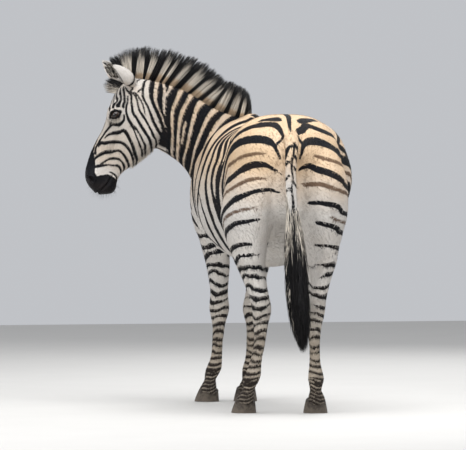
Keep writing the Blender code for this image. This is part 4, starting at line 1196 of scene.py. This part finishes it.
def scatter(mesh, count, weights, seed):
    """Roots spread over a mesh by area and weight: places, normals, places on the unwrap."""
    rng = np.random.default_rng(seed)
    mesh.calc_loop_triangles()
    amount = len(mesh.loop_triangles)
    corners, loops = np.empty(amount * 3, int), np.empty(amount * 3, int)
    mesh.loop_triangles.foreach_get("vertices", corners)
    mesh.loop_triangles.foreach_get("loops", loops)
    corners, loops = corners.reshape(-1, 3), loops.reshape(-1, 3)
    places, normals = positions(mesh), normals_of(mesh)
    uv = np.zeros(len(mesh.loops) * 2)
    mesh.uv_layers["OFBake"].data.foreach_get("uv", uv)
    uv = uv.reshape(-1, 2)
    a, b, c = (places[corners[:, k]] for k in range(3))
    area = np.linalg.norm(np.cross(b - a, c - a), axis=1) / 2 * weights[corners].mean(axis=1)
    drawn = (np.arange(count) + rng.random(count)) / count
    picked = np.searchsorted(np.cumsum(area) / area.sum(), drawn).clip(0, amount - 1)
    mix = rng.random((count, 2))
    mix = np.where(mix.sum(axis=1, keepdims=True) > 1, 1 - mix, mix)
    mix = np.column_stack([1 - mix.sum(axis=1), mix])[:, :, None]
    chosen = places[corners[picked]], normals[corners[picked]], uv[loops[picked]]
    return *((values * mix).sum(axis=1) for values in chosen), rng


def plant(name, lock, finish, roots, ways, faces, sizes, uvs, marks, nodes=()):
    """Plants a lock on every root and leaves the joined hair as one plain mesh."""
    mesh = bpy.data.meshes.new(name + "_roots")
    mesh.from_pydata(np.asarray(roots).tolist(), [], [])
    root_uvs = np.column_stack([uvs, np.zeros(len(uvs))])
    for key, values in (("way", ways), ("face", faces), ("size", sizes), ("root_uv", root_uvs)):
        layer = mesh.attributes.new(key, "FLOAT_VECTOR", "POINT")
        layer.data.foreach_set("vector", np.ravel(values).astype(np.float32))
    write_marks(mesh, marks)
    bed = add_object(name, mesh)
    modifier = bed.modifiers.new("planting", "NODES")
    modifier.node_group = planting
    sockets = {item.name: item.identifier for item in planting.interface.items_tree if item.in_out == "INPUT"}
    modifier[sockets["Lock"]], modifier[sockets["Finish"]], modifier[sockets["Patch"]] = lock, finish, PATCH
    hair = bpy.data.meshes.new_from_object(bed.evaluated_get(bpy.context.evaluated_depsgraph_get()))
    bed.modifiers.remove(modifier)
    bed.data = hair
    hair.name = name
    for key in ("way", "face", "size", "root_uv", "spot"):
        if hair.attributes.get(key):
            hair.attributes.remove(hair.attributes[key])
    hair.transform(Matrix.Translation(HIND_FEET))
    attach(bed, "root")
    if nodes:
        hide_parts(*nodes)


def lie_of_coat(points, normals, share, along, on_head):
    """The way the short hair lies, along the hide."""
    z = points[:, 2]
    way = np.zeros_like(points)
    way[:, 1] = -1.0
    way[:, 2] = -0.35 - 2.2 * eased(0.95 - z, 0.0, 0.35)
    way[:, 1] *= 1 - 0.9 * eased(0.72 - z, 0.0, 0.15)
    rows = np.clip((share * (len(neck_ways) - 1)).astype(int), 0, len(neck_ways) - 1)
    down_neck = unit(-neck_ways[rows]) + np.array((0, 0, -0.45))
    f = (eased(share, 0.02, 0.25) * (z > 0.75))[:, None]
    way = way * (1 - f) + down_neck * f
    face = np.array(NOSEWARD) * 1.0 - np.array(BROW) * 0.30
    face_way = np.where((along < 0.11)[:, None], -np.array(NOSEWARD) * 0.4 - np.array(BROW) * 0.9, face)
    way = np.where(on_head[:, None], face_way, way)
    drift = np.column_stack([waver(points, 0.17, 20 + k) for k in range(3)]) * 0.25
    way = way + drift
    return unit(way - normals * np.sum(way * normals, axis=1)[:, None])


def head_hide(points, share):
    return (share >= 0.99) & (points[:, 0] < -0.24) & (points[:, 1] > 1.0)


tuft = lock_mesh("tuft", ((0.0, 0.75, -0.55, 0.5), (0.45, 1.0, 0.62, 0.42)), 3)
sink = positions(skin.data) - np.array(HIND_FEET)
share, across = neck_places(sink)
along, brow, side = head_places(sink)
on_head = head_hide(sink, share)
u, v, outward, rim = slit_places(sink)
lids = (np.hypot(u, v) < 0.05) & (rim < 0.004)
nostrils = (np.hypot(along - 0.478, brow - 0.020) < 0.020) & (np.abs(side) > 0.02)
bare = on_head & (lids | nostrils | (np.hypot(along - 0.535, brow) < 0.02))
in_cup = markings(sink)["cup"] > 0.5
low_leg = sink[:, 2] < LOWER_LEG
nearness_to_head = eased(share, 0.58, 0.92)
regions = {
    "coat_head": on_head,
    "coat_neck": ~on_head & (share > 0.12) & ~low_leg,
    "coat_forelegs": low_leg & (sink[:, 1] > HIND_TO_FORE),
    "coat_hindlegs": low_leg & (sink[:, 1] <= HIND_TO_FORE),
}
regions["coat_trunk"] = ~np.any(list(regions.values()), axis=0)
skin.data.transform(Matrix.Translation(-HIND_FEET))
for seed, (name, (count, length, width, lift)) in enumerate(COAT_REGIONS.items()):
    weights = np.where(regions[name] & ~bare & ~in_cup, 1.0, 0.0)
    if "leg" in name:
        weights *= 1 + 1.2 * (sink[:, 2] < 0.35)
    if name == "coat_neck":
        weights *= 1 + 0.9 * nearness_to_head
    roots, normals, uvs, rng = scatter(skin.data, count, weights, 40 + seed)
    normals = unit(normals)
    share, across = neck_places(roots)
    along, brow, side = head_places(roots)
    head = np.full(count, name == "coat_head")
    ways = lie_of_coat(roots, normals, share, along, head)
    if name == "coat_head":
        for ear in EARS:
            up_ear = np.array(ear_frame(ear)[1])
            length_share, _, reach, _ = ear_places(roots, ear)
            mine = (length_share > 0.12) & (length_share < 1.1) & (reach < 1.3)
            ways[mine] = unit(up_ear - normals[mine] * (normals[mine] @ up_ear)[:, None])
    cross = np.cross(normals, ways)
    ways = ways + cross * rng.normal(0, 0.16, count)[:, None] + normals * rng.uniform(0.00, 0.07, count)[:, None]
    grown = rng.uniform(0.75, 1.2, count)
    if name == "coat_head":
        grown *= 1 - 0.45 * eased(along, 0.36, 0.50)
    if name == "coat_neck":
        grown *= 1 - 0.42 * eased(share, 0.58, 0.92)
    if "leg" in name:
        grown *= 1 - 0.5 * eased(0.30 - roots[:, 2], 0.0, 0.22)
    widths = width * (0.55 + 0.45 * eased(grown, 0.40, 0.80)) * rng.uniform(0.7, 1.3, count)
    lifts = lift * rng.uniform(0.8, 1.2, count) * (0.6 + 0.4 * grown)
    sizes = np.column_stack([widths, lifts, length * grown])
    plant(name, tuft, hide, roots, ways, normals, sizes, uvs, markings(roots))
skin.data.transform(Matrix.Translation(HIND_FEET))
bpy.data.objects.remove(tuft, do_unlink=True)


# --- mane, forelock and tail ----------------------------------------------------------------------------------------
# Stiff upright hair on the crest, in pale and black bands that carry on the neck's, black towards its tips.
# The tail ends in a long black tuft that hangs from the dock, with pale hair down the dock's two edges.
MANE_ROOTS_ON_HEAD = ((-0.010, 0.018), (0.020, 0.040), (0.048, 0.054))
MANE_HEIGHT = thousandths((  # share from the foremost shoulder hair to the forelock, and length of the hair
    (100, 20), (135, 100), (220, 128), (360, 142), (550, 146), (720, 144), (860, 136), (950, 116), (1000, 80),
))
MANE_LEAN = (
    (0.10, -0.25), (0.25, -0.45), (0.50, -0.58), (0.68, -0.52),
    (0.80, -0.34), (0.88, -0.14), (0.94, 0.12), (1.0, 0.24),
)
# the two pale bands by the ears: distance past the poll, and black (20) or pale (-20)
POLL_BANDS = thousandths((
    (-93, 20), (-57, 20), (-54, -20), (-29, -20), (-26, 20), (-14, 20), (-11, -20), (2, -20), (5, 20),
))
MANE_HALF_BASE = 0.015
MANE_SUNK = 0.014
MANE_START = 0.095          # share of the crest at which the first hair stands
CLUMP = 0.0085              # length of crest from which one clump grows
FORELOCK_TIPS = ((0, 0.026, 0.108), (0.35, 0.046, 0.124), (0.7, 0.070, 0.122), (1, 0.096, 0.102))
TAIL_BACK = -0.245          # y of the hanging hair
# the hanging hair: height, middle, half width, half depth
TAIL_HAIR = thousandths((
    (860, -6, 30, 22), (800, -4, 37, 26), (720, 0, 46, 32), (640, 4, 52, 36), (540, 10, 53, 35),
    (420, 20, 50, 32), (340, 31, 38, 25), (290, 39, 22, 15), (262, 42, 10, 8),
))


def hair_finish(name):
    make = Finish(name)
    rise, tipped = make.attribute("rise"), make.attribute("tipped")
    strand = make.attribute("strand")
    fine = make.noise(420, 2)
    shade = make.stepped(strand * 0.7 + fine * 0.3, 0.15, 0.8)
    pale = make.mixed(shade, (0.400, 0.360, 0.310, 1), (0.820, 0.750, 0.650, 1))
    low_down = make.stepped(rise + strand * 0.06, 0.34, 0.22) * make.attribute("warm") * 0.85
    pale = make.mixed(low_down, pale, make.mixed(fine, (0.52, 0.38, 0.25, 1), CREAM))
    black = make.mixed(strand * 0.5, (0.0040, 0.0042, 0.0055, 1), (0.012, 0.009, 0.008, 1))
    tips = tipped * make.stepped(rise + strand * 0.22, 0.70, 0.96)
    colour = make.mixed((make.stepped(make.attribute("black"), -0.0030, 0.0020) + tips).clamped(), pale, black)
    bump = make.bump(fine, 0.3, 0.0008)
    return make.finish(Base_Color=colour, Roughness=0.42 + strand * 0.2, Normal=bump, Specular_IOR_Level=0.3)


mane_hair = hair_finish("mane_hair")
strand_lock = lock_mesh("strand", ((0.0, 0.9, -0.2, 0.9), (0.35, 1.0, 0.4, 1.0), (0.7, 0.7, 0.1, 0.7)), 3)
long_rows = ((0.0, 0.7, -0.4, 0.7), (0.25, 1.0, 0.8, 1.0), (0.5, 1.0, -0.6, 1.0), (0.78, 0.7, 0.9, 0.7))
long_lock = lock_mesh("long_strand", long_rows, 3)


def unwrap_at(places):
    """The unwrap's place at a corner of the hide's nearest face."""
    found, spots = [], np.zeros(len(skin.data.loops) * 2)
    skin.data.uv_layers["OFBake"].data.foreach_get("uv", spots)
    spots = spots.reshape(-1, 2)
    for place in places:
        nearest = skin.closest_point_on_mesh(Vector(place) + HIND_FEET)[3]
        found.append(spots[skin.data.polygons[nearest].loop_start])
    return np.array(found)


def hair_marks(rng, black, tipped, warm=0.0):
    """The marks of long hair: black or pale at the root, black at the tip or not, and each strand's own shade."""
    marks = {"black": black, "tipped": tipped, "strand": rng.random(len(black)), "brown": PALE}
    marks |= {"warm": warm, "dust": 0.0, "muzzle": 0.0, "cup": 0.0}
    return {name: np.broadcast_to(values, len(black)).astype(float) for name, values in marks.items()}


def strand_sizes(rng, wide, thick, lengths):
    """Width, thickness and length of every strand, the first two drawn between their limits."""
    return np.column_stack([rng.uniform(*wide, len(lengths)), rng.uniform(*thick, len(lengths)), lengths])


crest = [Vector(row[0:3]) for row in neck_rows[:44:3]] + [in_head(a, b, 0) for a, b in MANE_ROOTS_ON_HEAD]
crest_up = [(Vector(row[0:3]) - Vector(row[3:6])).normalized() for row in neck_rows[:44:3]]
crest_up += [(BROW * 0.55 - NOSEWARD * 0.85).normalized()] * 3
mane_run = curve([(*p, *u) for p, u in zip(crest, crest_up)], 240)
run_length = np.concatenate([[0], np.cumsum(np.linalg.norm(np.diff(mane_run[:, :3], axis=0), axis=1))])
run_share = run_length / run_length[-1]
run_ahead = unit(np.gradient(mane_run[:, :3], axis=0))
run_neck = neck_places(mane_run[:, :3])[0]


def along_run(share, values):
    """Rows at shares of the mane's run along the crest."""
    return np.column_stack([np.interp(share, run_share, column) for column in np.atleast_2d(values.T)])


# mane: upright clumps from the withers to the poll
count = 7800
rng = np.random.default_rng(61)
poll_length = np.interp(0.985, run_neck, run_length)
front = (poll_length + 0.018) / run_length[-1]
share = MANE_START + (front - MANE_START) * (np.arange(count) + rng.random(count)) / count
offset = rng.uniform(-1, 1, count)
clump = np.floor(share * run_length[-1] / CLUMP + 0.35 * np.sign(offset) * (np.abs(offset) > 0.5)).astype(int)
per_clump = np.random.default_rng(62).random((clump.max() + 2, 3))
root = along_run(share, mane_run[:, :3])
ahead = unit(along_run(share, run_ahead))
up = along_run(share, mane_run[:, 3:6])
up = unit(up - ahead * np.sum(up * ahead, axis=1)[:, None])
over = np.cross(ahead, up)
height = read_off(share, MANE_HEIGHT) * (
    np.interp(share, (0.1, 0.5, 0.8, 1.0), (0.98, 0.93, 0.96, 1.0))
    * (1.0 + 0.09 * per_clump[clump, 0] - 0.13 * rng.random(count) ** 2.0)
)
drift = (clump + 0.5) * CLUMP - share * run_length[-1]
swept = height * read_off(share, MANE_LEAN) + drift * 0.6 + (per_clump[clump, 1] - 0.5) * 0.007
tip = up * height[:, None] + ahead * (swept + rng.normal(0, 0.0016, count))[:, None]
tip -= over * (offset * MANE_HALF_BASE * 0.62 + rng.normal(0, 0.0012, count))[:, None]
root = root + over * (offset * MANE_HALF_BASE)[:, None] - up * (MANE_SUNK * (0.6 + 0.4 * np.abs(offset)))[:, None]
way = tip + up * MANE_SUNK
neck_share = np.interp(share, run_share, np.where(run_neck >= 0.999, 1.0, run_neck))
past_poll = share * run_length[-1] - poll_length
past_crest, astray = 0.03 * (offset > 0) - 0.05, rng.normal(0, 0.0022, count)
band = -gap_field(past_crest, neck_share + astray, NECK_GAPS) * NECK_LENGTH + 0.0005
band = np.where(past_poll > -0.068, read_off(past_poll, POLL_BANDS), band)
face = unit(rng.normal(size=(count, 3)) + over * 0.8)
sizes = strand_sizes(rng, (0.0016, 0.0030), (0.0010, 0.0020), np.linalg.norm(way, axis=1))
sizes[:, :2] *= (1 + 0.35 * eased(past_poll, -0.08, -0.02))[:, None]
tipped = rng.random(count) > 0.015
marks = hair_marks(rng, band, tipped, 1.0)
uvs = unwrap_at(root)
plant("mane_hair", strand_lock, mane_hair, root, unit(way), face, sizes, uvs, marks, ("mane",))

# forelock: short locks that lean forward between the ears
count = 1500
rng = np.random.default_rng(63)
share, offset = rng.random(count), rng.uniform(-1, 1, count)
ahead, up = 0.028 + 0.052 * share, 0.042 + 0.006 * np.sin(3 * share)
base = np.array([in_head(a, b, 0.016 * o) for a, b, o in zip(ahead, up, offset)])
spread = (share * 9).astype(int) / 9 + 0.06
spread += np.random.default_rng(60).normal(0, 0.025, 10)[(share * 9).astype(int)]
spread = np.clip(share * 0.45 + spread * 0.55 + rng.normal(0, 0.07, count), 0, 1)
ahead, up = read_off(spread, FORELOCK_TIPS), read_off(spread, FORELOCK_TIPS, 2)
tips = np.array([in_head(a, b, 0.010 * o) for a, b, o in zip(ahead, up, offset)])
way = (tips - base) * (0.30 + 0.76 * rng.random(count) ** 1.2)[:, None]
sizes = strand_sizes(rng, (0.0010, 0.0019), (0.0008, 0.0014), np.linalg.norm(way, axis=1))
black = np.where(share < 0.58 + rng.normal(0, 0.20, count), DARK, PALE)
tipped = rng.random(count) < 0.3
marks = hair_marks(rng, black, tipped)
face = unit(rng.normal(size=(count, 3)))
uvs = unwrap_at(base)
plant("forelock_hair", strand_lock, mane_hair, base, unit(way), face, sizes, uvs, marks, ("forelock",))

# tail tuft: long wisps gathered towards the tip
count = 5600
rng = np.random.default_rng(64)


def in_tail(z, across, deep):
    """Places in the hanging hair: height, and shares of its half width and half depth there."""
    middle, half, depth = (read_off(z, TAIL_HAIR, column) for column in (1, 2, 3))
    return np.column_stack([middle + across * half, TAIL_BACK + 0.006 * (0.8 - z) + deep * depth, z])


angle, reach = rng.uniform(0, 2 * np.pi, count), np.sqrt(rng.uniform(0.04, 1, count))
across, deep = np.cos(angle) * reach, np.sin(angle) * reach
top = np.where(rng.random(count) < 0.45, 0.74 + 0.15 * rng.random(count) ** 1.8, rng.uniform(0.44, 0.76, count))
low_end = np.maximum(top - rng.uniform(0.16, 0.36, count), rng.uniform(0.264, 0.37, count))
wisp = np.floor(angle * 3.2).astype(int)
gather = np.random.default_rng(65).random((40, 2)) - 0.5
base = in_tail(top, across * 0.80, deep * 0.80)
chance = np.clip(np.abs(across + 0.1) * 1.3 - 0.05 + eased(top, 0.80, 0.88) * 0.35, 0.12, 0.75)
pale = (top > 0.762) & (rng.random(count) < chance) | (across < -0.75) & (rng.random(count) < 0.35)
low_end = np.where(pale, np.maximum(low_end, top - rng.uniform(0.06, 0.16, count)), low_end)
tips = in_tail(low_end, across * 0.98 + gather[wisp, 0] * 0.50, deep * 0.95 + gather[wisp, 1] * 0.4)
way = tips - base
sizes = strand_sizes(rng, (0.0020, 0.0036), (0.0018, 0.0030), np.linalg.norm(way, axis=1))
marks = hair_marks(rng, np.where(pale, PALE, DARK), 1.0)
face = unit(rng.normal(size=(count, 3)))
uvs = unwrap_at(base)
plant("tail_hair", long_lock, mane_hair, base, unit(way), face, sizes, uvs, marks, ("tail_tuft",))

# dock: short hair down its back and edges, over the upper end of the tuft
count = 3600
rng = np.random.default_rng(66)
z = 0.775 + 0.245 * rng.random(count) ** 1.3
row = np.interp(z, dock_rows[::-1, 2], np.arange(len(dock_rows))[::-1])
turned = rng.uniform(-2.2, 2.2, count)
core = np.column_stack([np.interp(row, np.arange(len(dock_rows)), dock_rows[:, k]) for k in range(5)])
outward = np.column_stack([np.sin(turned), -np.cos(turned) * 0.8, np.zeros(count)])
base = core[:, :3] + outward * np.column_stack([core[:, 3], core[:, 4], core[:, 3]]) * 0.90
hanging = np.column_stack([np.sin(turned) * 0.10, np.full(count, -0.03), -np.ones(count)])
way = unit(hanging + rng.normal(0, 0.03, (count, 3)))
length = rng.uniform(0.035, 0.085, count) * (0.15 + 0.85 * eased(1.02 - z, 0.0, 0.16))
side_hair = np.abs(np.sin(turned)) > 0.42
sizes = strand_sizes(rng, (0.0014, 0.0024), (0.0009, 0.0014), length + 0.004)
pale = side_hair & (rng.random(count) < 0.55 + 0.4 * eased(z, 0.84, 0.96))
marks = hair_marks(rng, np.where(pale, PALE, DARK), 0.0)
plant("dock_hair", strand_lock, mane_hair, base, way, unit(outward), sizes, unwrap_at(base), marks)

# long hair of the ears, whiskers and lashes
skin.data.transform(Matrix.Translation(-HIND_FEET))
sink = positions(skin.data)
marked = markings(sink)
roots, normals, uvs, rng = scatter(skin.data, 1700, np.where(marked["cup"] > 0.5, 1.0, 0.0), 67)
ways = np.zeros_like(roots)
for ear in EARS:
    _, way, _, facing, over_ear = ear_frame(ear)
    length_share, turn, reach, _ = ear_places(roots, ear)
    mine = (length_share > 0) & (length_share < 1.1) & (reach < 1.3)
    ways[mine] = np.array(way) * 0.9 + np.array(facing) * 0.22 + np.outer(-turn[mine] / 200, np.array(over_ear))
good = np.linalg.norm(ways, axis=1) > 0.1
roots, normals, uvs, ways = roots[good], normals[good], uvs[good], unit(ways[good])
count = len(roots)
marks = hair_marks(rng, np.where(rng.random(count) < 0.62, DARK, PALE), 0.0)
sizes = strand_sizes(rng, (0.0008, 0.0014), (0.0006, 0.0010), np.zeros(count))
sizes[:, 2] = rng.uniform(0.010, 0.022, count)
plant("ear_hair", strand_lock, mane_hair, roots, ways, unit(normals), sizes, uvs, marks)

along, brow, side = head_places(sink)
share, across = neck_places(sink)
on_head = head_hide(sink, share)
u, v, outward, rim = slit_places(sink)
lips = line_distance(along, brow, ((0.535, -0.020), (0.52, -0.050), (0.50, -0.085), (0.46, -0.095)))
lashes = (np.hypot(u, v) < 0.05) & (np.abs(u) < 0.021) & (v > 0.002) & (rim > 0.0005) & (rim < 0.0045)
under_jaw = np.where((along > 0.10) & (along < 0.36), bell(normals_of(skin.data)[:, 2] + 1, 0.35), 0)
patches = (  # where it grows, how many, width and thickness, shortest and longest, how upright it stands
    (bell(lips, 0.022), 150, (0.00035, 0.00035), (0.012, 0.034), 1.0),
    (lashes, 170, (0.0006, 0.0006), (0.007, 0.012), 0.6),
    (under_jaw, 900, (0.0013, 0.0010), (0.012, 0.020), 0.25),
)
parts = []
for weights, number, thick, reach, stand in patches:
    roots, normals, uvs, rng = scatter(skin.data, number, np.where(on_head, weights, 0.0), 70 + number)
    ways = unit(unit(normals) * stand + np.array(NOSEWARD) * (1 - stand * 0.6) + rng.normal(0, 0.12, (number, 3)))
    sizes = np.column_stack([np.full(number, thick[0]), np.full(number, thick[1]), rng.uniform(*reach, number)])
    black = markings(roots)["black"] if stand < 0.5 else np.full(number, DARK)
    parts.append((roots, ways, unit(normals), sizes, uvs, black))
roots, ways, faces, sizes, uvs, black = (np.concatenate([part[k] for part in parts]) for k in range(6))
marks = hair_marks(np.random.default_rng(71), black, 0.0)
plant("whiskers", strand_lock, mane_hair, roots, ways, faces, sizes, uvs, marks)
skin.data.transform(Matrix.Translation(HIND_FEET))
for lock in (strand_lock, long_lock):
    bpy.data.objects.remove(lock, do_unlink=True)


# --- eyes -----------------------------------------------------------------------------------------------------------
# Large dark eyes set in the sockets: a brown iris round a wide level pupil, under a clear wet cornea.
IRIS = 0.0155
PUPIL = (0.0085, 0.0050)    # half length and half height
FACE_ORDER = Vector((1.0, 3.7, 101.9))


def eye_finish():
    make = Finish("eye_glass")
    gaze, pupil = make.attribute("gaze"), make.attribute("pupil")
    ray = make.noise(700, 3)
    iris = make.mixed(ray, (0.006, 0.003, 0.002, 1), (0.026, 0.013, 0.007, 1))
    iris = make.mixed(make.stepped(pupil, 1.15, 0.9), iris, (0.002, 0.002, 0.003, 1))
    outside = make.stepped(gaze, IRIS * 1.05, IRIS * 1.35)
    white = make.mixed(outside, (0.008, 0.005, 0.004, 1), (0.10, 0.075, 0.062, 1))
    colour = make.mixed(make.stepped(gaze, IRIS * 0.97, IRIS * 1.06), iris, white)
    rough = 0.05 + ray * 0.03
    return make.finish(
        Base_Color=colour, Roughness=rough, Coat_Weight=0.55, Coat_Roughness=0.03, Specular_IOR_Level=0.25
    )


eye_glass = eye_finish()
for side, sign in (("left", 1), ("right", -1)):
    centre = in_head(EYE[0], EYE[1], sign * EYE[2])
    look = (LEFT * sign + NOSEWARD * 0.10 + BROW * 0.06).normalized()
    level = NOSEWARD * math.cos(EYE_TILT) + BROW * math.sin(EYE_TILT)
    level = (level - look * level.dot(look)).normalized()
    upright = look.cross(level)
    bm = bmesh.new()
    bmesh.ops.create_uvsphere(bm, u_segments=40, v_segments=24, radius=1.0)
    gazes, pupils = [], []
    for vertex in bm.verts:
        x, y, z = vertex.co
        far = math.acos(max(-1.0, min(1.0, z))) * EYE_RADIUS
        bulge = 0.0013 * max(0.0, 1 - (far / IRIS) ** 2) - 0.0003
        vertex.co = centre + (level * x + upright * y + look * z) * (EYE_RADIUS + bulge) + HIND_FEET
        gazes.append(far)
        pupils.append(math.hypot(x * EYE_RADIUS / PUPIL[0], y * EYE_RADIUS / PUPIL[1]) if z > 0 else 9.0)
    bmesh.ops.recalc_face_normals(bm, faces=bm.faces)
    # faces in one fixed order, by where they lie
    bm.faces.sort(key=lambda face: face.calc_center_median().dot(FACE_ORDER))
    mesh = bpy.data.meshes.new("eyeball_" + side)
    bm.to_mesh(mesh)
    bm.free()
    write_marks(mesh, {"gaze": gazes, "pupil": pupils})
    for face in mesh.polygons:
        face.use_smooth = True
    mesh.materials.append(eye_glass)
    eyeball = add_object("eyeball_" + side, mesh)
    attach(eyeball, "root")
    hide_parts("eye_" + side)


# --- hooves ---------------------------------------------------------------------------------------------------------
# Horn shoes grown in rings down from the coronet, worn flat below, dark under a coat of dry dust.
HOOF_LENGTH, HOOF_WIDTH = 0.128, 0.106
HEEL_HEIGHT, TOE_HEIGHT = 0.036, 0.078
# share of the way up, share of the sole's width, and lean back
HOOF_FORM = ((0.0, 1.0, 0.0), (0.12, 0.99, 0.02), (0.55, 0.90, 0.35), (1.0, 0.80, 0.72))
HOOF_ROWS, HOOF_COLUMNS = 26, 56
LIP = 0.93                  # share up at which the coronet's lip begins


def horn_finish():
    make = Finish("hoof_horn")
    down, turn = make.attribute("down"), make.attribute("turn")
    line = {"noise_dimensions": "1D"}
    rings = make.node("ShaderNodeTexNoise", line, 0, W=down, Scale=34.0, Detail=3.0)
    grain = make.node("ShaderNodeTexNoise", line, 0, W=turn, Scale=30.0, Detail=3.0)
    patchy = make.noise(60, 4)
    horn = make.mixed(rings * 0.6 + grain * 0.4, (0.020, 0.016, 0.014, 1), (0.080, 0.064, 0.051, 1))
    horn = make.mixed(make.stepped(patchy + down * 0.35, 0.45, 0.85) * 0.75, horn, (0.160, 0.132, 0.104, 1))
    bump = make.bump(rings + grain * 0.6, 0.7, 0.0012)
    return make.finish(Base_Color=horn, Roughness=0.62 + patchy * 0.25, Normal=bump, Specular_IOR_Level=0.35)


hoof_horn = horn_finish()
for leg, (profile, hoof_x, hoof_y, toe_out, sway) in LEGS.items():
    turn = Matrix.Rotation(math.radians(toe_out), 3, "Z")
    shell, downs, turns = ([], []), [], []
    rings = []
    for share, narrow, back in curve(HOOF_FORM, HOOF_ROWS):
        ring = []
        sole = 0.986 if share < 0.02 else 1.0
        ripple = 1 + 0.006 * math.sin(share * 34) * (share < LIP) + (0.012 if share > LIP else 0) - 0.012
        for k in range(HOOF_COLUMNS):
            a = 2 * math.pi * k / HOOF_COLUMNS
            across = math.cos(a) * HOOF_WIDTH / 2 * ripple * sole
            ahead = math.sin(a) * HOOF_LENGTH / 2 * ripple * sole
            heel = 1 - 0.10 * math.exp(-((math.cos(a) / 0.22) ** 2)) if math.sin(a) < 0 else 1.0
            ahead = ahead if ahead > 0 else ahead * 0.86 * heel
            lean = 0.055 * back
            x, y = across * narrow, (ahead * (1 - 0.26 * share)) - lean * (0.62 if ahead > 0 else 0.35)
            height = HEEL_HEIGHT + (TOE_HEIGHT - HEEL_HEIGHT) * (y + 0.075) / 0.115
            ring.append(Vector((hoof_x, hoof_y, 0)) + turn @ Vector((x, y, height * share)) + HIND_FEET)
            downs.append(1 - share)
            turns.append(math.cos(a) * (2 if math.sin(a) > 0 else -2))
        rings.append(ring)
    add_loft(shell, rings)
    shoe = closed_mesh(leg.replace("leg", "horn"), shell)
    extra = len(shoe.data.vertices) - len(downs)
    write_marks(shoe.data, {"down": downs + [1.0, 0.0][:extra], "turn": turns + [0.0, 0.0][:extra]})
    for face in shoe.data.polygons:
        face.use_smooth = abs(face.normal.z) < 0.9
    shoe.data.materials.append(hoof_horn)
    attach(shoe, "root")
    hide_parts(leg.replace("leg", "hoof"))


# --- studio ---------------------------------------------------------------------------------------------------------
# A plain pale floor under soft light from above, and a long lens from behind the animal's left hip.
CAMERA_TURN = math.radians(14.0)
CAMERA_AWAY = 28.0
CAMERA_HEIGHT = 1.5
CAMERA_TILT, CAMERA_ASIDE = math.radians(1.411), math.radians(0.4176)
FOCAL = 501.8

floor_mesh = bpy.data.meshes.new("floor")
floor_mesh.from_pydata([(-9, -9, 0), (9, -9, 0), (9, 9, 0), (-9, 9, 0)], [], [(0, 1, 2, 3)])
floor = add_object("floor", floor_mesh)
make = Finish("pale_floor")
colour = make.mixed(make.noise(3, 4), (0.56, 0.55, 0.53, 1), (0.60, 0.59, 0.57, 1))
floor_mesh.materials.append(make.finish(Base_Color=colour, Roughness=0.9))
floor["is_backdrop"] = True

world = bpy.data.worlds.new("studio")
bpy.context.scene.world = world
world.use_nodes = True
sky = world.node_tree.nodes["Background"].inputs
sky[0].default_value = (0.80, 0.82, 0.86, 1)
sky[1].default_value = 0.66
for name, place, aim, size, power in (
    ("over", (0.4, -1.0, 4.6), (0, 0, 0.8), 4.0, 260),
    ("left", (-4.0, -3.5, 3.0), (0, 0, 0.9), 3.0, 130),
    ("back", (2.5, 4.0, 3.4), (0, 0, 1.0), 3.0, 90),
):
    light = bpy.data.lights.new(name, "AREA")
    light.size, light.energy = size, power
    lamp = add_object(name, light)
    lamp.location = place
    lamp.rotation_euler = (Vector(aim) - Vector(place)).to_track_quat("-Z", "Y").to_euler()

camera = add_object("camera", bpy.data.cameras.new("camera"))
bpy.context.scene.camera = camera
camera.data.sensor_width = 36.0
camera.data.lens = FOCAL
camera.data.clip_end = 200.0
behind = Vector((-math.sin(CAMERA_TURN) * CAMERA_AWAY, -math.cos(CAMERA_TURN) * CAMERA_AWAY, CAMERA_HEIGHT))
camera.location = HIND_FEET + behind
camera.rotation_euler = (math.radians(90.0) - CAMERA_TILT, 0.0, CAMERA_ASIDE - CAMERA_TURN)
bpy.context.scene.view_settings.view_transform = "Standard"

low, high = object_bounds()
